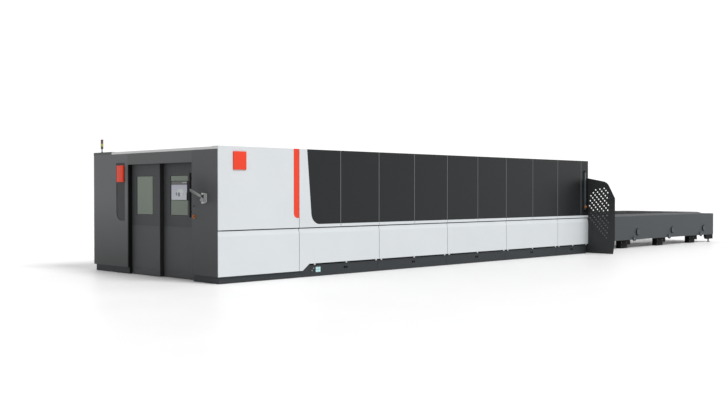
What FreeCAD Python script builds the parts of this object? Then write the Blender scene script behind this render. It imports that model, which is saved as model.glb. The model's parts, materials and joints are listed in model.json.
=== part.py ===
import FreeCAD, Part

import math
import os
import re

import Sketcher

# Fiber laser cutting machine: a long light-tight enclosure with two telescopic operator doors at one
# end, a gantry that carries the cutting head inside it, and a shuttle table with two sheet pallets at
# the other end.
# Frame: +X runs along the machine from the operator doors to the free end of the shuttle table, +Y to
# the side away from the long white covers, +Z up. The origin is on the floor under the middle.
# Lengths are in millimetres.

# ---------------------------------------------------------------------------------------------
# Driving sizes
# ---------------------------------------------------------------------------------------------

SIZES = {
    # Overall
    "enclosure_length": 12700,
    "enclosure_width": 4680,
    "enclosure_height": 2600,
    "table_length": 8670,
    "table_width": 3920,
    "monitor_reach": 404,
    "overcut": 1,
    # Covers of the long sides
    "cover_depth": 70,
    "cover_skin": 15,
    "corner_length": 1990,
    "end_post_length": 360,
    "module_count": 9,
    "seam": 6,
    "cover_seam": 12,
    "groove_depth": 4,
    "split_level": 1002,
    "split_gap": 20,
    "cover_bottom": 270,
    "corner_cover_bottom": 136,
    "bevel_height": 98,
    "bevel_depth": 25,
    "step_start": 2082,
    "step_end": 2260,
    "plinth_joint": 2335,
    "tab_length": 36,
    "tab_drop": 30,
    "tab_inset": 82,
    "tab_thickness": 12,
    "roof_lip": 200,
    # Dark glazed band
    "glazing_bottom": 1072,
    "glazing_top_x": 2200,
    "glazing_foot_x": 2331,
    "glazing_radius": 230,
    "glazing_recess": 8,
    # Red stripe and badges
    "stripe_width": 139,
    "stripe_bottom": 1208,
    "stripe_radius": 100,
    "stripe_thickness": 4,
    "side_badge_x": 342,
    "side_badge_width": 306,
    "side_badge_height": 349,
    "side_badge_drop": 444,
    "side_badge_depth": 25,
    "front_badge_width": 250,
    "front_badge_height": 352,
    "front_badge_drop": 406,
    "front_badge_margin": 24,
    "front_badge_depth": 40,
    "badge_corner": 8,
    # Plinth
    "plinth_setback": 40,
    "plinth_depth": 30,
    "plinth_height": 255,
    "front_plinth_height": 130,
    "slot_width": 46,
    "slot_height": 48,
    "slot_gap": 16,
    "slot_level": 121,
    "port_width": 63,
    "port_height": 51,
    "port_gap": 4,
    "port_depth": 8,
    "port_x": 2462,
    "port_level": 84,
    # Roof
    "roof_sink": 10,
    "roof_thickness": 48,
    "corner_top_length": 1250,
    "corner_top_width": 780,
    # Operator end
    "front_depth": 88,
    "right_column_width": 865,
    "left_column_width": 1440,
    "header_height": 232,
    "recess_width": 350,
    "recess_margin": 115,
    "recess_bottom": 1122,
    "recess_drop": 192,
    "recess_radius": 185,
    "recess_depth": 14,
    "recess_panel_thickness": 6,
    "trim_thickness": 12,
    # Telescopic doors
    "door_1_set_in": 100,
    "door_2_set_in": 190,
    "door_thickness": 50,
    "door_bottom": 15,
    "door_head_lap": 20,
    "door_1_width": 1165,
    "door_1_overlap": 80,
    "door_2_width": 1385,
    "door_2_overlap": 15,
    "door_seam_level": 1035,
    "door_seam_height": 8,
    "window_width": 620,
    "window_head_gap": 270,
    "window_bottom": 1265,
    "window_1_inset": 260,
    "window_2_inset": 426,
    "window_thickness": 10,
    "window_set_back": 6,
    "edge_seal_width": 12,
    "edge_seal_gap": 2,
    "handle_bottom": 1230,
    "handle_head_gap": 220,
    "handle_width": 50,
    "handle_thickness": 24,
    "handle_stand_off": 34,
    "handle_foot": 30,
    "handle_foot_inset": 100,
    "handle_inset": 250,
    "door_gap": 0.5,
    "rail_width": 44,
    "rail_height": 70,
    # Stop buttons, lock and key
    "stop_y": 775,
    "stop_level": 1260,
    "stop_base_radius": 42,
    "stop_base_height": 15,
    "stop_head_radius": 29,
    "stop_head_height": 20,
    "stop_bottom_gap": 1,
    "stop_travel": 6,
    "stop_stem_radius": 8,
    "shaft_clearance": 0.1,
    "key_y": 801,
    "key_level": 1458,
    "lock_radius": 13,
    "lock_height": 8,
    "key_gap": 0.3,
    "key_height": 30,
    "key_shank_length": 10,
    "key_shank_width": 9,
    "key_bow_width": 24,
    "key_thickness": 4,
    # Monitor on its arm
    "monitor_y": 686,
    "monitor_level": 1758,
    "monitor_width": 544,
    "monitor_height": 372,
    "monitor_depth": 52,
    "screen_thickness": 4,
    "screen_border": 10,
    "arm_pivot_x": 75,
    "arm_pivot_y": 400,
    "ear_top_level": 1715,
    "ear_bottom_level": 1512,
    "plate_top_inset": 12,
    "plate_bottom_inset": 22,
    "arm_foot_level": 1636,
    "arm_head_x": 225,
    "arm_head_level": 1796,
    "arm_width": 38,
    "arm_height": 44,
    "knuckle_radius": 24,
    "knuckle_height": 66,
    "arm_link_reach": 55,
    "arm_link_width": 32,
    "ear_thickness": 36,
    "arm_pin_radius": 10,
    "bracket_width": 90,
    "bracket_thickness": 12,
    "sleeve_height": 76,
    "pin_end": 4,
    "post_width": 36,
    "pad_thickness": 10,
    "pad_side": 110,
    "running_gap": 0.3,
    # Signal tower
    "tower_x": 130,
    "tower_y": 4545,
    "tower_pole_radius": 10,
    "tower_pole_height": 95,
    "lens_radius": 32,
    "green_lens_height": 44,
    "yellow_lens_height": 70,
    "red_lens_height": 86,
    # Side frames and cabinet
    "post_side": 80,
    "cabinet_x": 260,
    "cabinet_length": 950,
    "cabinet_head_room": 342,
    # Machine bed and gantry
    "bed_start": 2900,
    "bed_end_gap": 100,
    "bed_side_gap": 10,
    "bed_height": 1000,
    "bed_cross_height": 120,
    "bed_cross_width": 200,
    "bed_cross_count": 4,
    "gantry_rail_width": 45,
    "gantry_rail_height": 35,
    "gantry_rail_y": 2050,
    "gantry_park": 3050,
    "truck_length": 620,
    "truck_width": 160,
    "truck_height": 330,
    "bridge_depth": 340,
    "bridge_height": 340,
    "carriage_width": 420,
    "carriage_thickness": 60,
    "carriage_height": 330,
    "head_width": 170,
    "head_depth": 130,
    "head_height": 420,
    "head_bottom": 1330,
    "barrel_radius": 48,
    "barrel_length": 90,
    "nozzle_radius": 12,
    "nozzle_length": 50,
    "conveyor_half_width": 900,
    "conveyor_height": 220,
    "conveyor_end_gap": 700,
    # Rear wall and its lifting gate
    "rear_wall_thickness": 30,
    "opening_half_width": 1720,
    "opening_bottom": 560,
    "opening_top": 1300,
    "gate_thickness": 24,
    "gate_overlap": 40,
    "gate_gap": 0.5,
    "gate_set_back": 15,
    "gate_guide_width": 40,
    "gate_guide_depth": 44,
    # Side guards and light barriers
    "guard_reach": 845,
    "guard_thickness": 6,
    "guard_inner_overlap": 150,
    "guard_bottom": 12,
    "guard_wall_height": 2116,
    "guard_shoulder_reach": 603,
    "guard_shoulder_height": 2003,
    "guard_slant_height": 1556,
    "guard_taper_height": 379,
    "guard_foot_reach": 790,
    "guard_shoulder_radius": 250,
    "hole_diagonal": 50,
    "hole_first_reach": 240,
    "hole_first_level": 1787,
    "hole_row_out": 57,
    "hole_row_drop": 60,
    "hole_line_in": 76,
    "hole_line_drop": 81.5,
    "hole_outer_reach": 655,
    "hole_inner_reach": 45,
    "hole_lines_out": 2,
    "hole_lines_in": 6,
    "hole_line_steps": 15,
    "barrier_inset": 210,
    "barrier_width": 60,
    "barrier_depth": 20,
    "barrier_bottom": 1190,
    "barrier_top": 2325,
    "rear_stop_level": 1311,
    # Shuttle table
    "table_bottom": 255,
    "table_top": 985,
    "web_thickness": 12,
    "flange_width": 80,
    "foot_flange_width": 180,
    "flange_thickness": 12,
    "table_beam_width": 150,
    "table_beam_height": 110,
    "hub_first_x": 3445,
    "hub_last_inset": 745,
    "hub_count": 3,
    "hub_level": 490,
    "hub_radius": 108,
    "hub_depth": 36,
    "lug_offset": 232,
    "lug_level": 290,
    "lug_radius": 78,
    "lug_depth": 42,
    "jack_offset": 805,
    "jack_length": 395,
    "jack_width": 165,
    "jack_height": 232,
    "jack_set_in": 120,
    "jack_step": 20,
    "jack_arm_length": 220,
    "jack_arm_bottom": 100,
    "end_foot_inset": 35,
    "end_foot_length": 530,
    "end_foot_height": 155,
    "end_foot_width": 80,
    "end_foot_bevel": 85,
    "end_stem_radius": 22,
    "end_pad_side": 100,
    "end_pad_height": 24,
    # Pallets and their tracks
    "pallet_half_width": 1640,
    "pallet_crest_half_width": 1420,
    "pallet_inner_half_width": 1380,
    "pallet_flank_level": 975,
    "pallet_crest_level": 1030,
    "pallet_bottom": 880.3,
    "pallet_drop": 240,
    "pallet_end_width": 90,
    "pallet_rib_width": 80,
    "pallet_rib_count": 5,
    "slat_count": 60,
    "slat_thickness": 4,
    "slat_top": 1040,
    "slat_bottom": 935,
    "pallet_parked_gap": 180,
    "pallet_end_gap": 90,
    "pallet_inside_gap": 400,
    "track_thickness": 12,
    "track_width": 390,
    "track_gap": 0.3,
}

# Places that follow from the driving sizes.
PLACES = {
    "front_x": "(monitor_reach - enclosure_length - table_length) / 2",
    "rear_x": "front_x + enclosure_length",
    "module_pitch": "(enclosure_length - corner_length - end_post_length) / module_count",
    "roof_top": "enclosure_height - roof_sink",
    "fascia_bottom": "roof_top - roof_thickness",
    "header_bottom": "fascia_bottom - header_height",
    "door_top": "header_bottom + door_head_lap",
    "window_height": "door_top - window_head_gap - window_bottom",
    "handle_height": "door_top - handle_head_gap - handle_bottom",
    "recess_top": "fascia_bottom - recess_drop",
    "post_top": "fascia_bottom - post_side",
    "end_x": "rear_x + table_length",
    "web_y": "table_width / 2",
    "bed_inner": "web_y - bed_side_gap",
    "near_y": "-enclosure_width / 2",
    "far_y": "enclosure_width / 2",
    "corner_x": "front_x + corner_length",
    "end_post_x": "corner_x + module_count * module_pitch",
    "lower_top": "split_level - split_gap / 2",
    "upper_bottom": "split_level + split_gap / 2",
    "right_edge_y": "near_y + right_column_width",
    "left_edge_y": "far_y - left_column_width",
    "door_1_y": "left_edge_y + door_1_overlap - door_1_width",
    "door_2_y": "right_edge_y - door_2_overlap",
    "door_1_x": "front_x + door_1_set_in",
    "door_2_x": "front_x + door_2_set_in",
    "recess_y": "left_edge_y + recess_margin",
    "bed_x": "front_x + bed_start",
    "bed_end_x": "rear_x - bed_end_gap",
    "gantry_x": "front_x + gantry_park",
    "truck_bottom": "bed_height + gantry_rail_height + running_gap",
    "bridge_bottom": "truck_bottom + truck_height",
    "bridge_x": "gantry_x + (truck_length - bridge_depth) / 2",
    "carriage_x": "bridge_x - running_gap - carriage_thickness",
    "head_x": "carriage_x - running_gap - head_depth",
    "nozzle_top": "head_bottom - barrel_length",
    "hub_pitch": "(table_length - hub_first_x - hub_last_inset) / (hub_count - 1)",
    "pallet_length": "table_length - pallet_parked_gap - pallet_end_gap",
    "pallet_out_x": "rear_x + pallet_parked_gap",
    "pallet_in_x": "rear_x - pallet_inside_gap - pallet_length",
    "track_level": "pallet_bottom - track_gap",
    "guard_x": "rear_x",
    "barrier_x": "rear_x - barrier_inset",
    "knuckle_bottom": "ear_bottom_level + ear_thickness + running_gap",
    "monitor_back_x": "front_x - monitor_reach + screen_thickness + monitor_depth",
    "gate_top": "2 * opening_top + gate_overlap - opening_bottom + gate_overlap",
    "gate_x": "rear_x - rear_wall_thickness - gate_set_back - gate_thickness",
}

doc = FreeCAD.newDocument("laser_cutting_machine")
sheet = doc.addObject("Spreadsheet::Sheet", "Sizes")
for row, (name, value) in enumerate(list(SIZES.items()) + list(PLACES.items()), start=1):
    sheet.set(f"A{row}", name)
    sheet.set(f"B{row}", str(value) if name in SIZES else f"={value}")
    sheet.setAlias(f"B{row}", name)
doc.recompute()

NODES = []


# ---------------------------------------------------------------------------------------------
# Helpers
# ---------------------------------------------------------------------------------------------

def size(name):
    """The value that a named size or place has on the sheet."""
    return float(sheet.get(name))


def spell(rule):
    """Write a rule of plain size names the way an expression of the document names them."""
    known = lambda word: word[0] in SIZES or word[0] in PLACES
    return re.sub(r"[a-z][a-z_0-9]*", lambda word: "Sizes." + word[0] if known(word) else word[0], rule)


def bind(thing, rules):
    """Tie properties of a document object to the sheet."""
    for prop, rule in rules.items():
        thing.setExpression(prop, spell(rule))


def place(thing, x, y, z):
    """Set a thing's origin by rules."""
    bind(thing, {"Placement.Base.x": x, "Placement.Base.y": y, "Placement.Base.z": z})


def add(kind, name):
    """A new document object with its own label."""
    thing = doc.addObject(kind, name)
    thing.Label = name
    return thing


def node(thing):
    """Count a finished object as one of the machine's sub-parts."""
    NODES.append(thing)


def block(name, xs, ys, zs):
    """A box between two rules on each axis."""
    box = add("Part::Box", name)
    for prop, (low, high) in zip(("Length", "Width", "Height"), (xs, ys, zs)):
        bind(box, {prop: f"({high}) - ({low})"})
    place(box, xs[0], ys[0], zs[0])
    return box


AXIS_TURNS = {
    "-X": FreeCAD.Rotation(FreeCAD.Vector(0, 1, 0), -90),
    "-Y": FreeCAD.Rotation(FreeCAD.Vector(1, 0, 0), 90),
    "+Z": FreeCAD.Rotation(),
    "-Z": FreeCAD.Rotation(FreeCAD.Vector(1, 0, 0), 180),
}


def rod(name, axis, start, radius, length):
    """A round bar from a start point along a signed axis."""
    bar = add("Part::Cylinder", name)
    bar.Placement = FreeCAD.Placement(FreeCAD.Vector(), AXIS_TURNS[axis])
    bind(bar, {"Radius": radius, "Height": length})
    place(bar, *start)
    return bar


def fuse(name, pieces):
    """One solid made of pieces that meet."""
    joined = add("Part::MultiFuse", name)
    joined.Shapes = pieces
    joined.Refine = True
    return joined


def cut(name, base, tool):
    """A base with a tool's shape taken out."""
    left = add("Part::Cut", name)
    left.Base = base
    left.Tool = tool
    return left


def group(name, pieces):
    """Separate solids that share one node."""
    compound = add("Part::Compound", name)
    compound.Links = pieces
    return compound


def mirrored(name, source):
    """The same piece on the other side of the machine's centre plane."""
    twin = add("Part::Mirroring", name)
    twin.Source = source
    twin.Normal = FreeCAD.Vector(0, 1, 0)
    return twin


def both_sides(name, source):
    """A piece and its mirror image as one node."""
    return group(name, [source, mirrored(name + "_far", source)])


def origin_feature(body, role):
    """A plane or axis of a body's own origin."""
    return [feature for feature in body.Origin.OriginFeatures if feature.Role == role][0]


def draw_loop(sketch, corners):
    """A closed outline whose corners are held at rules measured from the sketch's origin."""
    first = sketch.GeometryCount
    count = len(corners)
    turn = 2 * math.pi / count
    start = [FreeCAD.Vector(math.cos(turn * i), math.sin(turn * i), 0) for i in range(count)]
    sketch.addGeometry([Part.LineSegment(start[i], start[(i + 1) % count]) for i in range(count)], False)
    for i, corner in enumerate(corners):
        line = first + i
        sketch.addConstraint(Sketcher.Constraint("Coincident", line, 2, first + (i + 1) % count, 1))
        for direction, rule in zip(("DistanceX", "DistanceY"), corner):
            index = sketch.addConstraint(Sketcher.Constraint(direction, -1, 1, line, 1, 1.0))
            sketch.setExpression(f"Constraints[{index}]", spell(rule))


def new_sketch(body, plane, name):
    """A sketch on one of a body's own origin planes."""
    sketch = body.newObject("Sketcher::SketchObject", name)
    sketch.AttachmentSupport = [(origin_feature(body, plane + "_Plane"), "")]
    sketch.MapMode = "FlatFace"
    return sketch


IN_PLANE = {"XY": ("x", "y"), "XZ": ("x", "z"), "YZ": ("y", "z")}


def corner_edges(shape, plane, corner):
    """Names of the edges that stand square to a plane over one corner of an outline."""
    first, second = IN_PLANE[plane]
    names = []
    for index, edge in enumerate(shape.Edges, start=1):
        off = [abs(getattr(v.Point, first) - corner.x) + abs(getattr(v.Point, second) - corner.y)
               for v in edge.Vertexes]
        if len(off) == 2 and max(off) < 0.01:
            names.append(f"Edge{index}")
    return names


def plate(name, plane, outline, depth, at, rounds=(), cutouts=()):
    """A body padded from an outline; rounds are (corner, radius) pairs, cutouts are inner loops."""
    body = add("PartDesign::Body", name)
    sketch = new_sketch(body, plane, name + "_outline")
    for loop in (outline, *cutouts):
        draw_loop(sketch, loop)
    pad = body.newObject("PartDesign::Pad", name + "_pad")
    pad.Profile = sketch
    pad.Reversed = plane == "XZ"
    bind(pad, {"Length": depth})
    place(body, *at)
    doc.recompute()
    for corner, radius in rounds:
        base = body.Tip
        edges = corner_edges(base.Shape, plane, sketch.Geometry[corner].StartPoint)
        fillet = body.newObject("PartDesign::Fillet", f"{name}_round_{corner}")
        fillet.Base = (base, edges)
        bind(fillet, {"Radius": radius})
        doc.recompute()
    return body


def row_of(body, axis, length, count):
    """Repeat a body's pad along one of its own axes."""
    pattern = body.newObject("PartDesign::LinearPattern", body.Label + "_row")
    pattern.Originals = [body.Tip]
    pattern.Direction = (origin_feature(body, axis + "_Axis"), [""])
    bind(pattern, {"Length": length, "Occurrences": count})
    body.Tip = pattern
    return body


# ---------------------------------------------------------------------------------------------
# Long sides: corner covers, glazed band, lower covers, plinth
# ---------------------------------------------------------------------------------------------

def cover_edges():
    """Where the wide covers meet: behind the corner cover, at every second module, at the rear end."""
    pairs = int(size("module_count")) // 2
    return [f"corner_x + {2 * i} * module_pitch" for i in range(pairs + 1)] + ["rear_x + cover_seam / 2"]


def corner_section(length):
    """Plan of a corner cover: a thin lip at the operator end, full depth behind the front column."""
    return [("0", "0"), (length, "0"), (length, "cover_depth"), ("front_depth", "cover_depth"),
            ("front_depth", "cover_skin"), ("0", "cover_skin")]


def make_corner_cover():
    """Tall white cover at the operator end, with a lip that laps over the roof's front strip."""
    wall = plate("corner_cover_wall", "XY", corner_section("corner_length - cover_seam / 2"),
                 "enclosure_height - upper_bottom", ("front_x", "near_y", "upper_bottom"))
    lip = block("corner_cover_lip", ("front_x", "front_x + corner_length - cover_seam / 2"),
                ("near_y", "near_y + roof_lip"), ("roof_top", "enclosure_height"))
    node(fuse("corner_cover", [wall, lip]))


def make_stripe():
    """Red stripe along the rear edge of the corner cover, rounded at its lower front corner."""
    outline = [("0", "stripe_bottom"), ("stripe_width", "stripe_bottom"),
               ("stripe_width", "enclosure_height"), ("0", "enclosure_height")]
    node(plate("side_stripe", "XZ", outline, "stripe_thickness",
               ("corner_x - cover_seam / 2 - stripe_width", "near_y - stripe_thickness", "0"),
               rounds=[(0, "stripe_radius")]))


def make_badge(name, plane, width, height, depth, at):
    """A plain red badge with its corners taken off."""
    c = "badge_corner"
    outline = [(c, "0"), (f"{width} - {c}", "0"), (width, c), (width, f"{height} - {c}"),
               (f"{width} - {c}", height), (c, height), ("0", f"{height} - {c}"), ("0", c)]
    node(plate(name, plane, outline, depth, at))


def make_window_surround():
    """White frame before and below the dark glazed band, one piece to a module."""
    outline = [("cover_seam / 2", "upper_bottom"),
               ("module_pitch - cover_seam / 2", "upper_bottom"),
               ("module_pitch - cover_seam / 2", "glazing_bottom"),
               ("glazing_foot_x - corner_length", "glazing_bottom"),
               ("glazing_top_x - corner_length", "enclosure_height"),
               ("cover_seam / 2", "enclosure_height")]
    pieces = [plate("window_surround_1", "XZ", outline, "cover_depth", ("corner_x", "near_y", "0"),
                    rounds=[(3, "glazing_radius")])]
    count = int(size("module_count"))
    edges = [f"corner_x + {i} * module_pitch" for i in range(1, count + 1)] + ["rear_x + cover_seam / 2"]
    for i, (left, right) in enumerate(zip(edges, edges[1:]), start=2):
        pieces.append(block(f"window_surround_{i}", (f"{left} + cover_seam / 2", f"{right} - cover_seam / 2"),
                            ("near_y", "near_y + cover_depth"), ("upper_bottom", "glazing_bottom")))
    node(group("window_surround", pieces))


def make_window_panels():
    """Dark panels of the glazed band, the first one with the slanting edge."""
    bottom = "glazing_bottom + seam / 2"
    across, levels = ("near_y + glazing_recess", "near_y + cover_depth"), (bottom, "enclosure_height")
    depth = "cover_depth - glazing_recess"
    start = ("corner_x", "near_y + glazing_recess", "0")
    first = [("glazing_foot_x - corner_length + seam / 2", bottom),
             ("module_pitch - cover_seam / 2", bottom),
             ("module_pitch - cover_seam / 2", "enclosure_height"),
             ("glazing_top_x - corner_length + seam / 2", "enclosure_height")]
    panels = [plate("window_panel_1", "XZ", first, depth, start, rounds=[(0, "glazing_radius")])]
    for i in range(1, int(size("module_count"))):
        left = f"corner_x + {i} * module_pitch + cover_seam / 2"
        along_x = (left, f"{left} + module_pitch - cover_seam")
        panels.append(block(f"window_panel_{i + 1}", along_x, across, levels))
    node(group("window_panels", panels))
    node(block("end_post", ("end_post_x + cover_seam / 2", "rear_x"), across, levels))


def bevelled_section(bottom):
    """Section of a lower cover: a flat face that leans back near its top edge."""
    return [("0", bottom), ("cover_depth", bottom), ("cover_depth", "lower_top"),
            ("bevel_depth", "lower_top"), ("0", "lower_top - bevel_height")]


def lower_cover(name, left, right, first):
    """One lower cover with the tabs that hook it over the plinth, which start at a given place."""
    panel = plate(name + "_panel", "YZ", bevelled_section("cover_bottom"),
                  f"({right}) - ({left}) - cover_seam", (f"{left} + cover_seam / 2", "near_y", "0"))
    pieces = [panel]
    middle = f"(({first}) + ({right})) / 2"
    for i, centre in enumerate((f"{first} + tab_inset", middle, f"{right} - tab_inset")):
        pieces.append(block(f"{name}_tab_{i + 1}",
                            (f"{centre} - tab_length / 2", f"{centre} + tab_length / 2"),
                            ("near_y + tab_thickness", "near_y + 2 * tab_thickness"),
                            ("cover_bottom - tab_drop", "cover_bottom + tab_thickness")))
    return fuse(name, pieces)


def make_lower_covers():
    """White lower covers of the near side; the second steps up over the plinth, the last is grooved."""
    corner = plate("lower_corner_wall", "XY", corner_section("corner_length - cover_seam / 2"),
                   "lower_top - corner_cover_bottom", ("front_x", "near_y", "corner_cover_bottom"))
    bevel = plate("lower_corner_bevel", "YZ",
                  [("0", "lower_top - bevel_height"), ("bevel_depth", "lower_top"), ("0", "lower_top")],
                  "corner_length", ("front_x", "near_y", "0"))
    covers = [cut("lower_corner_cover", corner, bevel)]
    edges = cover_edges()
    firsts = ["front_x + plinth_joint", *edges[1:]]
    for i, (left, right, first) in enumerate(zip(edges, edges[1:], firsts), start=2):
        covers.append(lower_cover(f"lower_cover_{i}", left, right, first))
    toe = plate("lower_cover_toe", "XZ",
                [("cover_seam / 2", "corner_cover_bottom"),
                 ("step_start - corner_length", "corner_cover_bottom"),
                 ("step_end - corner_length", "cover_bottom + overcut"),
                 ("cover_seam / 2", "cover_bottom + overcut")],
                "plinth_setback", ("corner_x", "near_y", "0"))
    covers[1] = fuse("lower_cover_stepped", [covers[1], toe])
    groove = block("lower_cover_groove", ("end_post_x - cover_seam / 2", "end_post_x + cover_seam / 2"),
                   ("near_y - overcut", "near_y + groove_depth"), ("0", "lower_top - bevel_height"))
    covers[-1] = cut("lower_cover_rear", covers[-1], groove)
    node(group("lower_covers", covers))


def make_plinth_covers():
    """Dark base covers all round the enclosure; on the near side five of them have a pair of slots."""
    inset = ("near_y + plinth_setback", "near_y + plinth_setback + plinth_depth")
    joint = "plinth_joint - seam / 2"
    foot = [("plinth_setback", "0"), (joint, "0"), (joint, "plinth_height"),
            ("step_end - seam", "plinth_height"), ("step_start - 2 * seam", "front_plinth_height"),
            ("plinth_setback", "front_plinth_height")]
    covers = [plate("plinth_near_1", "XZ", foot, "plinth_depth", ("front_x", inset[0], "0"))]
    starts = ["front_x + plinth_joint + seam / 2", *cover_edges()[1:-1], "rear_x - plinth_setback + seam"]
    for i, (left, right) in enumerate(zip(starts, starts[1:]), start=2):
        length = f"({right}) - ({left}) - seam"
        slots = []
        for side in (-1, 1):
            centre = f"({length}) / 2 + {side} * (slot_width + slot_gap) / 2"
            low, high = f"{centre} - slot_width / 2", f"{centre} + slot_width / 2"
            slots.append([(low, "slot_level"), (high, "slot_level"),
                          (high, "slot_level + slot_height"), (low, "slot_level + slot_height")])
        outline = [("0", "0"), (length, "0"), (length, "plinth_height"), ("0", "plinth_height")]
        covers.append(plate(f"plinth_near_{i}", "XZ", outline, "plinth_depth", (left, inset[0], "0"),
                            cutouts=slots))
    covers += [
        block("plinth_far", ("front_x + plinth_setback", "rear_x - plinth_setback"),
              ("far_y - plinth_setback - plinth_depth", "far_y - plinth_setback"),
              ("0", "front_plinth_height")),
        block("plinth_front_right", ("front_x + plinth_setback", "front_x + front_depth"),
              ("near_y + cover_depth", "right_edge_y"), ("0", "front_plinth_height")),
        block("plinth_front_left", ("front_x + plinth_setback", "front_x + front_depth"),
              ("left_edge_y", "far_y - cover_depth"), ("0", "front_plinth_height")),
    ]
    node(group("plinth_covers", covers))


def make_service_ports():
    """Four small caps in a square on the plinth, over the service connections."""
    caps = []
    for column in (0, 1):
        for level in (0, 1):
            left = f"front_x + port_x + {column} * (port_width + port_gap)"
            low = f"port_level + {level} * (port_height + port_gap)"
            caps.append(block(f"service_port_{2 * column + level + 1}", (left, f"{left} + port_width"),
                              ("near_y + plinth_setback - port_depth", "near_y + plinth_setback"),
                              (low, f"{low} + port_height")))
    node(group("service_ports", caps))


def make_far_side_covers():
    """Plain covers of the side away from the operator's view, two modules to a cover."""
    corner = plate("far_corner_wall", "XY", corner_section("corner_top_length - seam"),
                   "fascia_bottom - corner_cover_bottom", ("front_x", "near_y", "corner_cover_bottom"))
    covers = [mirrored("far_corner_cover", corner)]
    edges = ["front_x + corner_top_length", *cover_edges()[:-1], "rear_x + seam"]
    for i, (left, right) in enumerate(zip(edges, edges[1:]), start=1):
        for level, (low, high) in {"lower": ("corner_cover_bottom", "lower_top"),
                                   "upper": ("upper_bottom", "fascia_bottom")}.items():
            covers.append(block(f"far_{level}_cover_{i}", (left, f"{right} - seam"),
                                ("far_y - cover_depth", "far_y"), (low, high)))
    node(group("far_side_covers", covers))


# ---------------------------------------------------------------------------------------------
# Roof, side frames, cabinet
# ---------------------------------------------------------------------------------------------

def make_roof():
    """White roof sheets with the strip that shows above the operator doors."""
    inner = ("near_y + cover_depth", "far_y")
    levels = ("fascia_bottom", "roof_top")
    sheets = [block("roof_front_strip", ("front_x", "front_x + front_depth"),
                    ("near_y + cover_skin", "far_y - corner_top_width"), levels),
              block("roof_sheet_1", ("front_x + front_depth", "front_x + corner_top_length - seam"),
                    ("near_y + cover_depth", "far_y - corner_top_width"), levels)]
    edges = ["front_x + corner_top_length", *cover_edges()[:-1], "rear_x + seam"]
    for i, (left, right) in enumerate(zip(edges, edges[1:]), start=2):
        sheets.append(block(f"roof_sheet_{i}", (left, f"{right} - seam"), inner, levels))
    node(group("roof_sheets", sheets))
    node(block("corner_top_cover", ("front_x", "front_x + corner_top_length - seam"),
               ("far_y - corner_top_width", "far_y"), ("fascia_bottom", "enclosure_height")))


def make_side_frames():
    """Posts behind the cover joints and the beam that ties their heads, on both sides."""
    near = ("near_y + cover_depth", "near_y + cover_depth + post_side")
    members = [block("frame_beam", ("front_x + front_depth", "rear_x - rear_wall_thickness"), near,
                     ("post_top", "fascia_bottom"))]
    centres = cover_edges()[:-1]
    centres += ["front_x + front_depth + post_side / 2", "rear_x - rear_wall_thickness - post_side / 2"]
    for i, centre in enumerate(centres):
        members.append(block(f"frame_post_{i + 1}",
                             (f"{centre} - post_side / 2", f"{centre} + post_side / 2"),
                             near, ("0", "post_top")))
    node(both_sides("side_frames", group("side_frame", members)))


def make_cabinet():
    """Control cabinet in the corner behind the left column."""
    node(block("control_cabinet", ("front_x + cabinet_x", "front_x + cabinet_x + cabinet_length"),
               ("far_y - corner_top_width", "far_y - cover_depth"),
               ("0", "fascia_bottom - cabinet_head_room")))


# ---------------------------------------------------------------------------------------------
# Operator end: columns, header, doors
# ---------------------------------------------------------------------------------------------

def make_left_column():
    """Wide front column with a shallow recess whose lower outer corner is rounded."""
    wall = block("left_column_wall", ("front_x", "front_x + front_depth"),
                 ("left_edge_y", "far_y - cover_skin"), ("corner_cover_bottom", "fascia_bottom"))
    outline = [("0", "recess_bottom"), ("recess_width", "recess_bottom"), ("recess_width", "recess_top"),
               ("0", "recess_top")]
    pocket = plate("left_column_recess", "YZ", outline, "recess_depth", ("front_x", "recess_y", "0"),
                   rounds=[(1, "recess_radius")])
    node(cut("front_column_left", wall, pocket))
    node(plate("column_recess_panel", "YZ", outline, "recess_panel_thickness",
               ("front_x + recess_depth - recess_panel_thickness", "recess_y", "0"),
               rounds=[(1, "recess_radius")]))


def make_right_column():
    """Front column that carries the monitor arm, the stop button and the key switch."""
    node(block("front_column_right", ("front_x", "front_x + front_depth"),
               ("near_y + cover_skin", "right_edge_y"), ("corner_cover_bottom", "fascia_bottom")))


def make_header():
    """Panel above the doors and the double rail that they hang from."""
    node(block("door_header", ("front_x", "front_x + front_depth"), ("right_edge_y", "left_edge_y"),
               ("header_bottom", "fascia_bottom")))
    web_top = "door_top + door_gap + rail_height"
    outline = [("front_depth", web_top)]
    for set_in in ("door_1_set_in", "door_2_set_in"):
        near = f"{set_in} + (door_thickness - rail_width) / 2"
        outline += [(near, web_top), (near, "door_top + door_gap"),
                    (f"{near} + rail_width", "door_top + door_gap"), (f"{near} + rail_width", web_top)]
    back = outline[-1][0]
    outline += [(back, f"{web_top} + rail_height / 4"), ("front_depth", f"{web_top} + rail_height / 4")]
    node(plate("door_rails", "XZ", outline,
               "enclosure_width - 2 * (cover_depth + post_side)",
               ("front_x", "near_y + cover_depth + post_side", "0")))


def make_column_trim():
    """Black strip on the left column's edge, down to the floor beside the plinth."""
    back = "door_1_set_in - edge_seal_gap"
    outline = [("plinth_setback", "0"), (back, "0"), (back, "header_bottom"), ("cover_skin", "header_bottom"),
               ("cover_skin", "corner_cover_bottom"), ("plinth_setback", "corner_cover_bottom")]
    node(plate("column_edge_trim", "XZ", outline, "trim_thickness",
               ("front_x", "left_edge_y - trim_thickness", "0")))


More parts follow.
